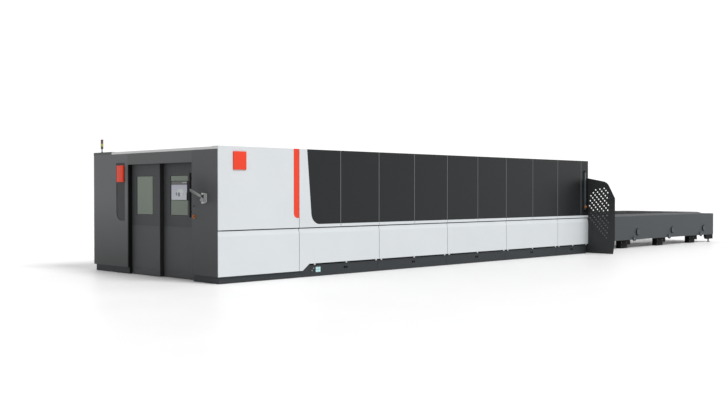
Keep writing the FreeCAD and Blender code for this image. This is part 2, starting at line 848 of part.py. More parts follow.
def make_door(name, x, y, width, window_inset):
    """A door leaf with its window opening and the shallow seam below the window, and its glass."""
    leaf = [("0", "door_bottom"), (width, "door_bottom"), (width, "door_top"), ("0", "door_top")]
    right = f"{window_inset} + window_width"
    opening = [(window_inset, "window_bottom"), (right, "window_bottom"),
               (right, "window_bottom + window_height"), (window_inset, "window_bottom + window_height")]
    slab = plate(f"{name}_slab", "YZ", leaf, "door_thickness", (x, y, "0"), cutouts=[opening])
    seams = []
    for level, low in {"middle": "door_seam_level", "kick": "front_plinth_height"}.items():
        seams.append(block(f"{name}_{level}_seam", (f"{x} - overcut", f"{x} + groove_depth"),
                           (f"{y} - overcut", f"{y} + {width} + overcut"),
                           (low, f"{low} + door_seam_height")))
    node(cut(f"{name}_leaf", slab, group(f"{name}_seams", seams)))
    node(block(f"{name}_window", (f"{x} + window_set_back", f"{x} + window_set_back + window_thickness"),
               (f"{y} + {window_inset}", f"{y} + {right}"),
               ("window_bottom", "window_bottom + window_height")))


def make_doors():
    """Both telescopic doors, the front one's edge seal and the rear one's long handle."""
    make_door("door_1", "door_1_x", "door_1_y", "door_1_width", "window_1_inset")
    make_door("door_2", "door_2_x", "door_2_y", "door_2_width", "window_2_inset")
    node(block("door_1_edge_seal", ("door_1_x", "door_2_x - edge_seal_gap"),
               ("door_1_y - edge_seal_width", "door_1_y"), ("door_bottom", "door_top")))
    start = "door_2_y + handle_inset"
    bar_back = "door_2_x - handle_stand_off"
    pieces = [block("handle_bar", (f"{bar_back} - handle_thickness", bar_back),
                    (start, f"{start} + handle_width"),
                    ("handle_bottom", "handle_bottom + handle_height"))]
    foot_y = f"{start} + (handle_width - handle_foot) / 2"
    for i, low in enumerate(("handle_bottom + handle_foot_inset",
                             "handle_bottom + handle_height - handle_foot_inset - handle_foot")):
        pieces.append(block(f"handle_foot_{i + 1}", (bar_back, "door_2_x"),
                            (foot_y, f"{foot_y} + handle_foot"), (low, f"{low} + handle_foot")))
    node(fuse("door_handle", pieces))


# ---------------------------------------------------------------------------------------------
# Controls: stop buttons, key switch, signal tower
# ---------------------------------------------------------------------------------------------

def stop_base(name, axis, face):
    """Round yellow collar of a stop button, bored for the button's stem."""
    disc = rod(name + "_disc", axis, face, "stop_base_radius", "stop_base_height")
    bore = rod(name + "_bore", axis, face, "stop_stem_radius + shaft_clearance",
               "stop_base_height + overcut")
    return cut(name, disc, bore)


def along(axis, point, distance):
    """A point moved by a rule along a signed axis."""
    moved = list(point)
    index = "XYZ".index(axis[1])
    moved[index] = f"{point[index]} {axis[0]} ({distance})"
    return moved


def stop_button(name, axis, face):
    """Mushroom button: a stem in the collar's bore and a broad flat head."""
    stem_start = "stop_travel + stop_bottom_gap"
    stem = rod(name + "_stem", axis, along(axis, face, stem_start), "stop_stem_radius",
               "stop_base_height + stop_head_height")
    head = rod(name + "_head", axis, along(axis, face, f"stop_base_height + {stem_start}"),
               "stop_head_radius", "stop_head_height")
    node(fuse(name, [stem, head]))


def make_controls():
    """Two stop buttons, at the doors and on the near light barrier, and a lock with its key."""
    front_face = ("front_x", "near_y + stop_y", "stop_level")
    rear_face = ("barrier_x + barrier_width / 2", "near_y - barrier_depth", "rear_stop_level")
    lock = rod("lock_barrel", "-X", ("front_x", "near_y + key_y", "key_level"), "lock_radius", "lock_height")
    node(group("control_collars", [stop_base("stop_collar_front", "-X", front_face),
                                   stop_base("stop_collar_rear", "-Y", rear_face), lock]))
    stop_button("stop_button_front", "-X", front_face)
    stop_button("stop_button_rear", "-Y", rear_face)
    shank = block("key_shank", ("front_x - lock_height - key_height", "front_x - lock_height - key_gap"),
                  ("near_y + key_y - key_thickness / 2", "near_y + key_y + key_thickness / 2"),
                  ("key_level - key_shank_width / 2", "key_level + key_shank_width / 2"))
    bow = block("key_bow", ("front_x - lock_height - key_height", "front_x - lock_height - key_shank_length"),
                ("near_y + key_y - key_thickness / 2", "near_y + key_y + key_thickness / 2"),
                ("key_level - key_bow_width / 2", "key_level + key_bow_width / 2"))
    node(fuse("switch_key", [shank, bow]))


def make_signal_tower():
    """Pole with the column of three lenses, green below, yellow, and red on top."""
    centre = ("front_x + tower_x", "near_y + tower_y")
    pole = rod("tower_pole", "+Z", (*centre, "enclosure_height"), "tower_pole_radius", "tower_pole_height")
    column = rod("lens_column", "+Z", (*centre, "enclosure_height + tower_pole_height"), "lens_radius",
                 "green_lens_height + yellow_lens_height + red_lens_height")
    node(group("signal_tower", [pole, column]))


# ---------------------------------------------------------------------------------------------
# Monitor on its swinging arm
# ---------------------------------------------------------------------------------------------

def make_monitor_bracket():
    """Wall bracket: a plate with two ears that hold the arm's upright pin."""
    y = "near_y + arm_pivot_y"
    pieces = [block("bracket_plate", ("front_x - bracket_thickness", "front_x"),
                    (f"{y} - bracket_width / 2", f"{y} + bracket_width / 2"),
                    ("ear_bottom_level + plate_bottom_inset", "ear_top_level - plate_top_inset"))]
    for side, low in {"lower": "ear_bottom_level", "upper": "ear_top_level - ear_thickness"}.items():
        pieces.append(block(f"bracket_{side}_ear",
                            ("front_x - arm_pivot_x - knuckle_radius", "front_x - bracket_thickness"),
                            (f"{y} - knuckle_radius", f"{y} + knuckle_radius"),
                            (low, f"{low} + ear_thickness")))
    hole = rod("bracket_hole", "+Z", ("front_x - arm_pivot_x", y, "ear_bottom_level - overcut"),
               "arm_pin_radius + running_gap", "ear_top_level - ear_bottom_level + 2 * overcut")
    node(cut("monitor_bracket", fuse("bracket_blank", pieces), hole))


def make_monitor_arm():
    """Rising arm: a knuckle on the wall pin, a link, the beam and the sleeve at its head."""
    pivot = ("front_x - arm_pivot_x", "near_y + arm_pivot_y")
    head = ("front_x - arm_head_x", "near_y + monitor_y")
    run = math.hypot(size("arm_head_x") - size("arm_pivot_x"), size("monitor_y") - size("arm_pivot_y"))
    rise = size("arm_head_level") - size("arm_foot_level")
    beam = add("Part::Feature", "monitor_arm_beam")
    beam.Shape = Part.makeBox(math.hypot(run, rise), size("arm_width"), size("arm_height"),
                              FreeCAD.Vector(0, -size("arm_width") / 2, -size("arm_height") / 2))
    slope = FreeCAD.Rotation(FreeCAD.Vector(0, 1, 0), -math.degrees(math.atan2(rise, run)))
    swing = math.atan2(size("monitor_y") - size("arm_pivot_y"), size("arm_pivot_x") - size("arm_head_x"))
    heading = FreeCAD.Rotation(FreeCAD.Vector(0, 0, 1), math.degrees(swing))
    beam.Placement = FreeCAD.Placement(FreeCAD.Vector(), heading.multiply(slope))
    place(beam, *pivot, "arm_foot_level")
    knuckle = rod("arm_knuckle", "+Z", (*pivot, "knuckle_bottom"), "knuckle_radius", "knuckle_height")
    link = block("arm_link", (f"{pivot[0]} - arm_link_reach", f"{pivot[0]} - knuckle_radius / 2"),
                 (f"{pivot[1]} - arm_link_width / 2", f"{pivot[1]} + arm_link_width / 2"),
                 ("knuckle_bottom", "arm_foot_level"))
    pin = rod("arm_pin", "+Z", (*pivot, "ear_bottom_level - pin_end"), "arm_pin_radius",
              "ear_top_level - ear_bottom_level + 2 * pin_end")
    sleeve = rod("arm_sleeve", "+Z", (*head, "arm_head_level - sleeve_height / 2"), "knuckle_radius",
                 "sleeve_height")
    bore = rod("arm_bore", "+Z", (*head, "arm_head_level - sleeve_height"),
               "arm_pin_radius + running_gap", "2 * sleeve_height")
    blank = fuse("arm_blank", [beam, knuckle, link, pin, sleeve])
    node(cut("monitor_arm", blank, bore))


def make_monitor_head():
    """Swivelling head: a pin in the arm's sleeve, a post below it and the plate on the monitor's back."""
    x, y = "front_x - arm_head_x", "near_y + monitor_y"
    shoulder = "arm_head_level - sleeve_height / 2 - running_gap"
    axis = f"{shoulder} - post_width / 2"
    pin = rod("head_pin", "+Z", (x, y, shoulder), "arm_pin_radius", "sleeve_height + running_gap + pin_end")
    neck = block("head_neck", ("monitor_back_x", f"{x} + post_width / 2"),
                 (f"{y} - post_width / 2", f"{y} + post_width / 2"), (f"{shoulder} - post_width", shoulder))
    pad = block("head_pad", ("monitor_back_x", "monitor_back_x + pad_thickness"),
                (f"{y} - pad_side / 2", f"{y} + pad_side / 2"),
                (f"{axis} - pad_side / 2", f"{axis} + pad_side / 2"))
    node(fuse("monitor_head", [pin, neck, pad]))


def make_monitor():
    """Monitor housing and its screen."""
    y = "near_y + monitor_y"
    node(block("monitor_housing", ("monitor_back_x - monitor_depth", "monitor_back_x"),
               (f"{y} - monitor_width / 2", f"{y} + monitor_width / 2"),
               ("monitor_level - monitor_height / 2", "monitor_level + monitor_height / 2")))
    node(block("monitor_screen", ("front_x - monitor_reach", "front_x - monitor_reach + screen_thickness"),
               (f"{y} - monitor_width / 2 + screen_border", f"{y} + monitor_width / 2 - screen_border"),
               ("monitor_level - monitor_height / 2 + screen_border",
                "monitor_level + monitor_height / 2 - screen_border")))


# ---------------------------------------------------------------------------------------------
# Cutting machine inside the enclosure
# ---------------------------------------------------------------------------------------------

def make_bed():
    """Welded bed: two long side beams tied by cross members on the floor, with the gantry's rails."""
    inner, outer = "bed_inner", "far_y - cover_depth - post_side"
    length, height = ("bed_x", "bed_end_x"), ("0", "bed_height")
    beams = [block("bed_beam_near", length, (f"-({outer})", f"-{inner}"), height),
             block("bed_beam_far", length, (inner, outer), height)]
    count = int(size("bed_cross_count"))
    for i in range(count):
        left = f"bed_x + {i} * (bed_end_x - bed_x - bed_cross_width) / (bed_cross_count - 1)"
        beams.append(block(f"bed_cross_{i + 1}", (left, f"{left} + bed_cross_width"), (f"-{inner}", inner),
                           ("0", "bed_cross_height")))
    node(fuse("machine_bed", beams))
    rail = block("gantry_rail", ("bed_x", "bed_end_x"),
                 ("-gantry_rail_y - gantry_rail_width / 2", "-gantry_rail_y + gantry_rail_width / 2"),
                 ("bed_height", "bed_height + gantry_rail_height"))
    node(both_sides("gantry_rails", rail))


def make_gantry():
    """Gantry bridge on its two trucks, the carriage on its face and the cutting head below it."""
    trucks = []
    for side, centre in {"near": "-gantry_rail_y", "far": "gantry_rail_y"}.items():
        low = f"{centre} - truck_width / 2"
        trucks.append(block(f"truck_{side}", ("gantry_x", "gantry_x + truck_length"),
                            (low, f"{low} + truck_width"), ("truck_bottom", "bridge_bottom")))
    reach = "gantry_rail_y + truck_width / 2"
    beam = block("bridge_beam", ("bridge_x", "bridge_x + bridge_depth"), (f"-({reach})", reach),
                 ("bridge_bottom", "bridge_bottom + bridge_height"))
    node(fuse("gantry_bridge", trucks + [beam]))
    node(block("head_carriage", ("carriage_x", "carriage_x + carriage_thickness"),
               ("-carriage_width / 2", "carriage_width / 2"),
               ("bridge_bottom", "bridge_bottom + carriage_height")))
    axis = ("head_x + head_depth / 2", "0")
    case = block("head_case", ("head_x", "head_x + head_depth"), ("-head_width / 2", "head_width / 2"),
                 ("head_bottom", "head_bottom + head_height"))
    barrel = rod("head_barrel", "-Z", (*axis, "head_bottom"), "barrel_radius", "barrel_length")
    nozzle = rod("nozzle", "-Z", (*axis, "nozzle_top"), "nozzle_radius", "nozzle_length")
    node(group("cutting_head", [fuse("head_body", [case, barrel]), nozzle]))


def make_conveyor():
    """Scrap conveyor under the cutting zone: a flat belt loop that narrows over its end rollers."""
    turn = "conveyor_height / 3"
    length = "pallet_length - conveyor_end_gap"
    outline = [(turn, "0"), (f"{length} - {turn}", "0"), (length, turn),
               (length, f"conveyor_height - {turn}"),
               (f"{length} - {turn}", "conveyor_height"), (turn, "conveyor_height"),
               ("0", f"conveyor_height - {turn}"), ("0", turn)]
    node(plate("scrap_conveyor", "XZ", outline, "2 * conveyor_half_width",
               ("pallet_in_x + conveyor_end_gap / 2", "-conveyor_half_width", "bed_cross_height")))


# ---------------------------------------------------------------------------------------------
# Rear end: wall with the pallet opening, lifting gate, side guards, light barriers
# ---------------------------------------------------------------------------------------------

def make_rear_wall():
    """Wall with the slot that the pallets pass through, and the guides of its lifting gate."""
    outline = [("near_y + cover_depth", "0"), ("far_y - cover_depth", "0"),
               ("far_y - cover_depth", "fascia_bottom"), ("near_y + cover_depth", "fascia_bottom")]
    slot = [("-opening_half_width", "opening_bottom"), ("opening_half_width", "opening_bottom"),
            ("opening_half_width", "opening_top"), ("-opening_half_width", "opening_top")]
    pieces = [plate("rear_wall_sheet", "YZ", outline, "rear_wall_thickness",
                    ("rear_x - rear_wall_thickness", "0", "0"), cutouts=[slot])]
    reach = "opening_half_width + gate_overlap"
    x_back = "rear_x - rear_wall_thickness"
    for side in (-1, 1):
        edge = f"{reach} + gate_gap"
        low = edge if side > 0 else f"-({edge}) - gate_guide_width"
        pieces.append(block(f"gate_guide_{side + 2}", (f"{x_back} - gate_guide_depth", x_back),
                            (low, f"{low} + gate_guide_width"),
                            ("opening_bottom - gate_overlap", "gate_top")))
    node(fuse("rear_wall", pieces))
    node(block("rear_gate", ("gate_x", "gate_x + gate_thickness"), (f"-({reach})", reach),
               ("opening_top + gate_overlap", "gate_top")))


def guard_holes(name):
    """Square holes stood on their corners, on a slanting lattice kept inside the guard's slanting edges."""
    reach_of_corner = size("hole_diagonal") / 2
    overcut = size("overcut")
    holes = []
    for line in range(-int(size("hole_lines_out")), int(size("hole_lines_in")) + 1):
        for step in range(max(0, -line), int(size("hole_line_steps"))):
            reach = size("hole_first_reach") + step * size("hole_row_out") - line * size("hole_line_in")
            level = size("hole_first_level") - step * size("hole_row_drop") - line * size("hole_line_drop")
            if not size("hole_inner_reach") <= reach <= size("hole_outer_reach"):
                continue
            corners = [(0, 1), (1, 0), (0, -1), (-1, 0), (0, 1)]
            ring = [FreeCAD.Vector(-overcut, reach_of_corner * y - reach, level + reach_of_corner * z)
                    for y, z in corners]
            hole = Part.Face(Part.makePolygon(ring))
            holes.append(hole.extrude(FreeCAD.Vector(size("guard_thickness") + 2 * overcut, 0, 0)))
    tool = add("Part::Feature", name)
    tool.Shape = Part.makeCompound(holes)
    place(tool, "guard_x", "near_y", "0")
    return tool


def make_guards():
    """Perforated guard plates that stand out beside the pallet opening."""
    outline = [("-guard_foot_reach", "guard_bottom"), ("guard_inner_overlap", "guard_bottom"),
               ("guard_inner_overlap", "guard_wall_height"), ("0", "guard_wall_height"),
               ("-guard_shoulder_reach", "guard_shoulder_height"), ("-guard_reach", "guard_slant_height"),
               ("-guard_reach", "guard_taper_height")]
    blank = plate("guard_blank", "YZ", outline, "guard_thickness", ("guard_x", "near_y", "0"),
                  rounds=[(4, "guard_shoulder_radius")])
    node(both_sides("side_guards", cut("side_guard", blank, guard_holes("guard_holes"))))


def make_light_barriers():
    """Slim upright light-barrier strips on both sides of the rear end."""
    along_x = ("barrier_x", "barrier_x + barrier_width")
    levels = ("barrier_bottom", "barrier_top")
    node(group("light_barriers", [
        block("light_barrier_near", along_x, ("near_y - barrier_depth", "near_y + glazing_recess"), levels),
        block("light_barrier_far", along_x, ("far_y", "far_y + barrier_depth"), levels)]))


# ---------------------------------------------------------------------------------------------
# Shuttle table and pallets
# ---------------------------------------------------------------------------------------------

def make_table_sides():
    """Channel-shaped side plates of the shuttle table, with a wide foot flange that the jacks bear on."""
    low, high = "table_bottom", "table_top"
    outline = [("0", low), ("foot_flange_width", low), ("foot_flange_width", f"{low} + flange_thickness"),
               ("web_thickness", f"{low} + flange_thickness"),
               ("web_thickness", f"{high} - flange_thickness"),
               ("flange_width", f"{high} - flange_thickness"), ("flange_width", high), ("0", high)]
    side = plate("table_side", "YZ", outline, "table_length - web_thickness", ("rear_x", "-web_y", "0"))
    node(both_sides("table_sides", side))


def make_table_beams():
    """End plate and cross beams between the side plates."""
    node(block("table_end_plate", ("end_x - web_thickness", "end_x"), ("-web_y", "web_y"),
               ("table_bottom", "table_top")))
    inner = "web_y - web_thickness"
    low = "table_bottom + flange_thickness"
    beams = []
    for i in range(int(size("hub_count")) + 1):
        centre = f"rear_x + hub_first_x + {i - 1} * hub_pitch"
        beams.append(block(f"table_beam_{i + 1}",
                           (f"{centre} - table_beam_width / 2", f"{centre} + table_beam_width / 2"),
                           (f"-({inner})", inner), (low, f"{low} + table_beam_height")))
    node(group("table_cross_beams", beams))


def make_table_hubs():
    """Round lifting hubs on both side plates, and on the near one a smaller lug low beside each hub."""
    hubs, lugs = [], []
    for i in range(int(size("hub_count"))):
        x = f"rear_x + hub_first_x + {i} * hub_pitch"
        hubs.append(rod(f"table_hub_{i + 1}", "-Y", (x, "-web_y", "hub_level"), "hub_radius", "hub_depth"))
        lugs.append(rod(f"table_lug_{i + 1}", "-Y", (f"{x} - lug_offset", "-web_y", "lug_level"),
                        "lug_radius", "lug_depth"))
    near = group("table_hub_row", hubs)
    node(group("table_hubs", [near, mirrored("table_hub_row_far", near), *lugs]))


def make_table_jacks():
    """Black jack blocks under the side plates, each with an arm on it that reaches out to one side."""
    y = ("-web_y + jack_set_in", "-web_y + jack_set_in + jack_width")
    jacks = []
    for i in range(int(size("hub_count"))):
        x = f"rear_x + hub_first_x + {i} * hub_pitch - jack_offset"
        base = block(f"jack_base_{i + 1}", (x, f"{x} + jack_length"), y, ("0", "jack_height"))
        arm = block(f"jack_arm_{i + 1}", (f"{x} + jack_step", f"{x} + jack_length + jack_arm_length"),
                    (f"{y[0]} + jack_step", y[1]), ("jack_arm_bottom", "table_bottom"))
        jacks.append(fuse(f"table_jack_{i + 1}", [base, arm]))
    node(both_sides("table_jacks", group("table_jack_row", jacks)))


def make_end_feet():
    """Levelling feet under the free end of the table: block with a bevelled corner, stem and pad."""
    left = "end_x - end_foot_inset - end_foot_length"
    low = "table_bottom - end_foot_height"
    outline = [("end_foot_bevel", low), ("end_foot_length", low), ("end_foot_length", "table_bottom"),
               ("0", "table_bottom"), ("0", f"{low} + end_foot_bevel")]
    centre = (f"{left} + end_foot_length / 2", "-web_y + end_foot_width / 2")
    foot = fuse("end_foot", [
        plate("end_foot_block", "XZ", outline, "end_foot_width", (left, "-web_y", "0")),
        rod("end_foot_stem", "+Z", (*centre, "0"), "end_stem_radius", f"{low} + overcut"),
        block("end_foot_pad", (f"{centre[0]} - end_pad_side / 2", f"{centre[0]} + end_pad_side / 2"),
              (f"{centre[1]} - end_pad_side / 2", f"{centre[1]} + end_pad_side / 2"),
              ("0", "end_pad_height")),
    ])
    node(both_sides("table_end_feet", foot))


def make_tracks():
    """Shelves that the pallets slide on, two levels, inside the machine and out on the table."""
    shelves = []
    for level in (0, 1):
        high = f"track_level - {level} * pallet_drop"
        for where, left, right, wall in (
                ("in", "pallet_in_x", "bed_end_x", "bed_inner"),
                ("out", "pallet_out_x", "end_x - web_thickness", "web_y - web_thickness")):
            shelves.append(block(f"track_{where}_{level + 1}", (left, right),
                                 (f"-({wall})", f"-({wall}) + track_width"),
                                 (f"{high} - track_thickness", high)))
    node(both_sides("pallet_tracks", group("pallet_track_set", shelves)))


def make_pallet(letter, start, level):
    """A pallet: two side beams with sloping flanks, end beams, ribs, and a field of upright slats."""
    drop = f"{level} * pallet_drop"
    name = f"pallet_{letter}"
    section = [("pallet_inner_half_width", "pallet_bottom"), ("pallet_half_width", "pallet_bottom"),
               ("pallet_half_width", "pallet_flank_level"), ("pallet_crest_half_width", "pallet_crest_level"),
               ("pallet_inner_half_width", "pallet_crest_level")]
    far = plate(f"{name}_side", "YZ", section, "pallet_length", (start, "0", f"-{drop}"))
    pieces = [far, mirrored(f"{name}_side_near", far)]
    half = ("-pallet_inner_half_width", "pallet_inner_half_width")
    low = f"pallet_bottom - {drop}"
    ends = (start, f"{start} + pallet_length - pallet_end_width")
    for i, left in enumerate(ends):
        pieces.append(block(f"{name}_end_{i + 1}", (left, f"{left} + pallet_end_width"), half,
                            (low, f"pallet_crest_level - {drop}")))
    for i in range(int(size("pallet_rib_count"))):
        centre = f"{start} + {i + 1} * pallet_length / (pallet_rib_count + 1)"
        pieces.append(block(f"{name}_rib_{i + 1}",
                            (f"{centre} - pallet_rib_width / 2", f"{centre} + pallet_rib_width / 2"),
                            half, (low, f"slat_bottom - {drop}")))
    node(fuse(f"{name}_frame", pieces))
    field = "(pallet_length - 2 * pallet_end_width)"
    slat = plate(f"{name}_slats", "YZ",
                 [("-pallet_inner_half_width", "slat_bottom"), ("pallet_inner_half_width", "slat_bottom"),
                  ("pallet_inner_half_width", "slat_top"), ("-pallet_inner_half_width", "slat_top")],
                 "slat_thickness",
                 (f"{start} + pallet_end_width + {field} / (slat_count + 1)", "0", f"-{drop}"))
    node(row_of(slat, "X", f"{field} * (slat_count - 1) / (slat_count + 1)", "slat_count"))


# ---------------------------------------------------------------------------------------------
# Build, check and write
# ---------------------------------------------------------------------------------------------

make_corner_cover()
make_stripe()
make_badge("side_badge", "XZ", "side_badge_width", "side_badge_height", "side_badge_depth",
           ("front_x + side_badge_x", "near_y - side_badge_depth", "enclosure_height - side_badge_drop"))
make_badge("front_badge", "YZ", "front_badge_width", "front_badge_height",
           "front_badge_depth + recess_depth - recess_panel_thickness",
           ("front_x - front_badge_depth", "recess_y + front_badge_margin", "recess_top - front_badge_drop"))
make_window_surround()
make_window_panels()
make_lower_covers()
make_plinth_covers()
make_service_ports()
make_far_side_covers()
make_roof()
make_side_frames()
make_cabinet()
make_left_column()
make_right_column()
make_header()
make_column_trim()
make_doors()
make_controls()
make_signal_tower()
make_monitor_bracket()
make_monitor_arm()
make_monitor_head()
make_monitor()
make_bed()
make_gantry()
make_conveyor()
make_rear_wall()
make_guards()
make_light_barriers()
make_table_sides()
make_table_beams()
make_table_hubs()
make_table_jacks()
make_end_feet()
make_tracks()
make_pallet("a", "pallet_out_x", 0)
make_pallet("b", "pallet_in_x", 1)
doc.recompute()

failed = [thing.Label for thing in doc.Objects if {"Invalid", "Error"} & set(thing.State)]
if failed:
    raise RuntimeError(f"these objects did not build: {failed}")
for thing in NODES:
    if thing.Shape.isNull() or not thing.Shape.isValid() or not thing.Shape.Solids:
        raise RuntimeError(f"{thing.Label} has no valid shape")

os.makedirs("parts", exist_ok=True)
for thing in NODES:
    thing.Shape.exportStep(f"parts/{thing.Label}.step")
print(len(NODES), "sub-parts written")
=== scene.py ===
# %% [markdown]
# # A fiber laser cutting machine in a white studio
#
# The machine is a light-tight house over a welded bed. Sheet metal lies on one of two slatted pallets,
# a gantry carries the cutting head over it, and a shuttle table at the far end swaps the pallets.
# Everything below either paints a part of that frame or adds a piece that rides on one of its bodies.

# %% Load the frame
import json
import math

import bmesh
import bpy
from mathutils import Matrix, Vector


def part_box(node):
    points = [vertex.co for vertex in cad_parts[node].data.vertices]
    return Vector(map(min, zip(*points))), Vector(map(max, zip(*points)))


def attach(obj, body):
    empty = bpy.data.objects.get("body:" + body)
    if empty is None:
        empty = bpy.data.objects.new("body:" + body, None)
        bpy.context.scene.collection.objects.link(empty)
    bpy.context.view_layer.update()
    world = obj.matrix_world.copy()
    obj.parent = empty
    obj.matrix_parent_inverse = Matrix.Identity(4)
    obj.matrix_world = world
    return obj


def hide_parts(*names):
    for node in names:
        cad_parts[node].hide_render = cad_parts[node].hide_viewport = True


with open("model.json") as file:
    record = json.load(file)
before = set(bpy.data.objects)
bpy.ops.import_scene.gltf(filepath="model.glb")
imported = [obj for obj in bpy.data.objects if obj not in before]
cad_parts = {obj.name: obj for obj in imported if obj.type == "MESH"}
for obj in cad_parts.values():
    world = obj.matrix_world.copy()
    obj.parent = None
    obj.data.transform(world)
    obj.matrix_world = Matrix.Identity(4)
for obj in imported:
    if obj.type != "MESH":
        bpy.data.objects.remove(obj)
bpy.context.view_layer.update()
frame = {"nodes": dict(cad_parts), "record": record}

# %% [markdown]
# ## Where things are
#
# Most places on the machine follow from a few planes: the dark front, the rear wall, the free end of
# the table and the outer face of the near covers. They are read from the frame, so that a piece moves
# with the model when its sizes change.

# %% The machine's main planes
FRONT_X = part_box("front_column_right")[0].x
REAR_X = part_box("rear_wall")[1].x
TABLE_END_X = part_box("table_end_plate")[1].x
NEAR_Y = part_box("corner_cover")[0].y
ROOF_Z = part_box("corner_cover")[1].z
print(f"front {FRONT_X:.3f}, rear {REAR_X:.3f}, table end {TABLE_END_X:.3f}, near side {NEAR_Y:.3f}")

# %% [markdown]
# ## Node trees written as sums
#
# A procedural material is a small calculation that runs at every point of a surface, and a Geometry
# Nodes tree is one that runs on a mesh. Drawn as nodes both soon become hard to read. So one small
# class wraps a socket: adding, multiplying or comparing two values adds the Math node that does it.
# Its operators come in pairs, because Python asks the value on the right when the left one is a number.
# Every other node comes from one method, which sets the node's own settings before its sockets.

# %% A socket that can be calculated with
def both_ways(operation):
    """An operator and its reflected form, so that mask - 1 and 1 - mask both work."""
    return (lambda self, other: self.joined(operation, self, other),
            lambda self, other: self.joined(operation, other, self))


class Value:
    """A node's output in an expression; each operator adds one Math node."""

    def __init__(self, socket):
        self.socket = socket

    def joined(self, operation, first, second):
        """One Math node that works on two values."""
        made = self.socket.id_data.nodes.new("ShaderNodeMath")
        made.operation = operation
        plug(made.inputs[0], first)
        plug(made.inputs[1], second)
        return Value(made.outputs[0])

    __add__, __radd__ = both_ways("ADD")
    __sub__, __rsub__ = both_ways("SUBTRACT")
    __mul__, __rmul__ = both_ways("MULTIPLY")
    __truediv__, __rtruediv__ = both_ways("DIVIDE")
    __mod__, __rmod__ = both_ways("FLOORED_MODULO")
    __pow__, __rpow__ = both_ways("POWER")
    __gt__, __lt__ = both_ways("GREATER_THAN")


def plug(socket, value):
    """Feed a socket with another node's value, with several of them or with a constant."""
    if isinstance(value, list):
        for one in value:
            plug(socket, one)
    elif isinstance(value, Value):
        socket.id_data.links.new(value.socket, socket)
    else:
        socket.default_value = value


print("sums of sockets are ready")

# %% Any other node
class Graph:
    """A node tree that is put together one call at a time."""

    prefix = "ShaderNode"

    def node(self, kind, settings=None, sockets=None, output=0):
        """Add a node: first its settings, then its sockets; a node that ends a tree has no output."""
        full = kind if "Node" in kind else self.prefix + kind
        made = self.tree.nodes.new(full)
        for name, value in (settings or {}).items():
            setattr(made, name, value)
        for name, value in (sockets or {}).items():
            plug(made.inputs[name], value)
        return None if output is None else Value(made.outputs[output])

    def vector(self, x, y, z):
        """Three values as one vector."""
        return self.node("ShaderNodeCombineXYZ", sockets={"X": x, "Y": y, "Z": z})


print("one method adds any other node")

# %% A material's node tree
class Finish(Graph):
    """A material whose surface is one Principled shader, fed by whatever the finish calculates."""

    def __init__(self, name, **constants):
        self.material = bpy.data.materials.new(name)
        self.material.use_nodes = True
        self.tree = self.material.node_tree
        self.surface = self.tree.nodes["Principled BSDF"]
        self.feed(**constants)

    def feed(self, **sockets):
        """Set or link the shader's own sockets, named with underscores for spaces."""
        for name, value in sockets.items():
            plug(self.surface.inputs[name.replace("_", " ")], value)

    def place(self, stretch=(1, 1, 1)):
        """The point's own place on the object, in metres, stretched along its axes."""
        spot = self.node("TexCoord", output="Object")
        return self.node("Mapping", sockets={"Vector": spot, "Scale": stretch})

    def axis(self, letter):
        """One coordinate of the point's own place."""
        return self.node("SeparateXYZ", sockets={"Vector": self.place()}, output=letter)

    def noise(self, scale, detail=2, stretch=(1, 1, 1)):
        """Soft random values between 0 and 1, with so many features to the metre."""
        return self.node("TexNoise", sockets={"Vector": self.place(stretch), "Scale": scale,
                                              "Detail": detail})

    def steps(self, value, low, high):
        """A value stretched so that low becomes 0 and high becomes 1, and held there."""
        return self.node("MapRange", {"clamp": True}, {0: value, 1: low, 2: high})

    def mixed(self, factor, first, second):
        """One colour where the factor is 0, the other where it is 1."""
        return self.node("Mix", {"data_type": "RGBA"}, {0: factor, 6: first, 7: second}, output=2)

    def bumps(self, height, depth):
        """Let a height in metres tilt the shading of the surface."""
        tilt = self.node("Bump", sockets={"Height": height, "Distance": depth, "Strength": 1.0})
        self.feed(Normal=tilt)


def shade(colour, factor=1.0):
    """An opaque colour, made darker or lighter by a factor."""
    return (*[min(channel * factor, 1.0) for channel in colour], 1.0)


print("materials can be calculated")

# %% [markdown]
# ## Powder coat
#
# Nearly every cover is sheet steel with a powder coat: a paint that is blown on dry and melted in an
# oven. It could be one flat colour, but up close it has a skin like an orange's, and over a metre or
# two its gloss wanders a little. So the finish mixes a slow cloudy change of tone and gloss with fine
# bumps, all calculated from the point's own place on the machine. The dark coats also hold a fine
# lighter fleck, and their tone may change with height. On the dark front that change is painted light
# and shade: lighter towards the roof, darker towards the floor.

# %% Powder coat
def powder_coat(name, colour, roughness, skin=0.00012, cloud=0.05, fleck=0.0, rise=None, ior=1.45):
    """Baked paint with an orange-peel skin; rise is (low, high, factor): its tone changes upwards."""
    paint = Finish(name, IOR=ior)
    drift = paint.noise(0.9, detail=4)

    def clouded(factor):
        return paint.mixed(paint.steps(drift, 0.3, 0.7), shade(colour, (1 - cloud) * factor),
                           shade(colour, (1 + cloud) * factor))

    tone = clouded(1.0)
    # On the dark front a rise is painted light and shade: lighter towards the roof, darker towards the floor.
    if rise:
        low, high, factor = rise
        tone = paint.mixed(paint.steps(paint.axis("Z"), low, high), tone, clouded(factor))
    if fleck:
        speckle = paint.steps(paint.noise(420), 0.60, 0.70)
        tone = paint.mixed(speckle * fleck, tone, shade(colour, 2.2))
    paint.feed(Base_Color=tone, Roughness=drift * 0.12 + (roughness - 0.06))
    paint.bumps(paint.noise(260, detail=3), skin)
    return paint.material


print("powder coat is ready")
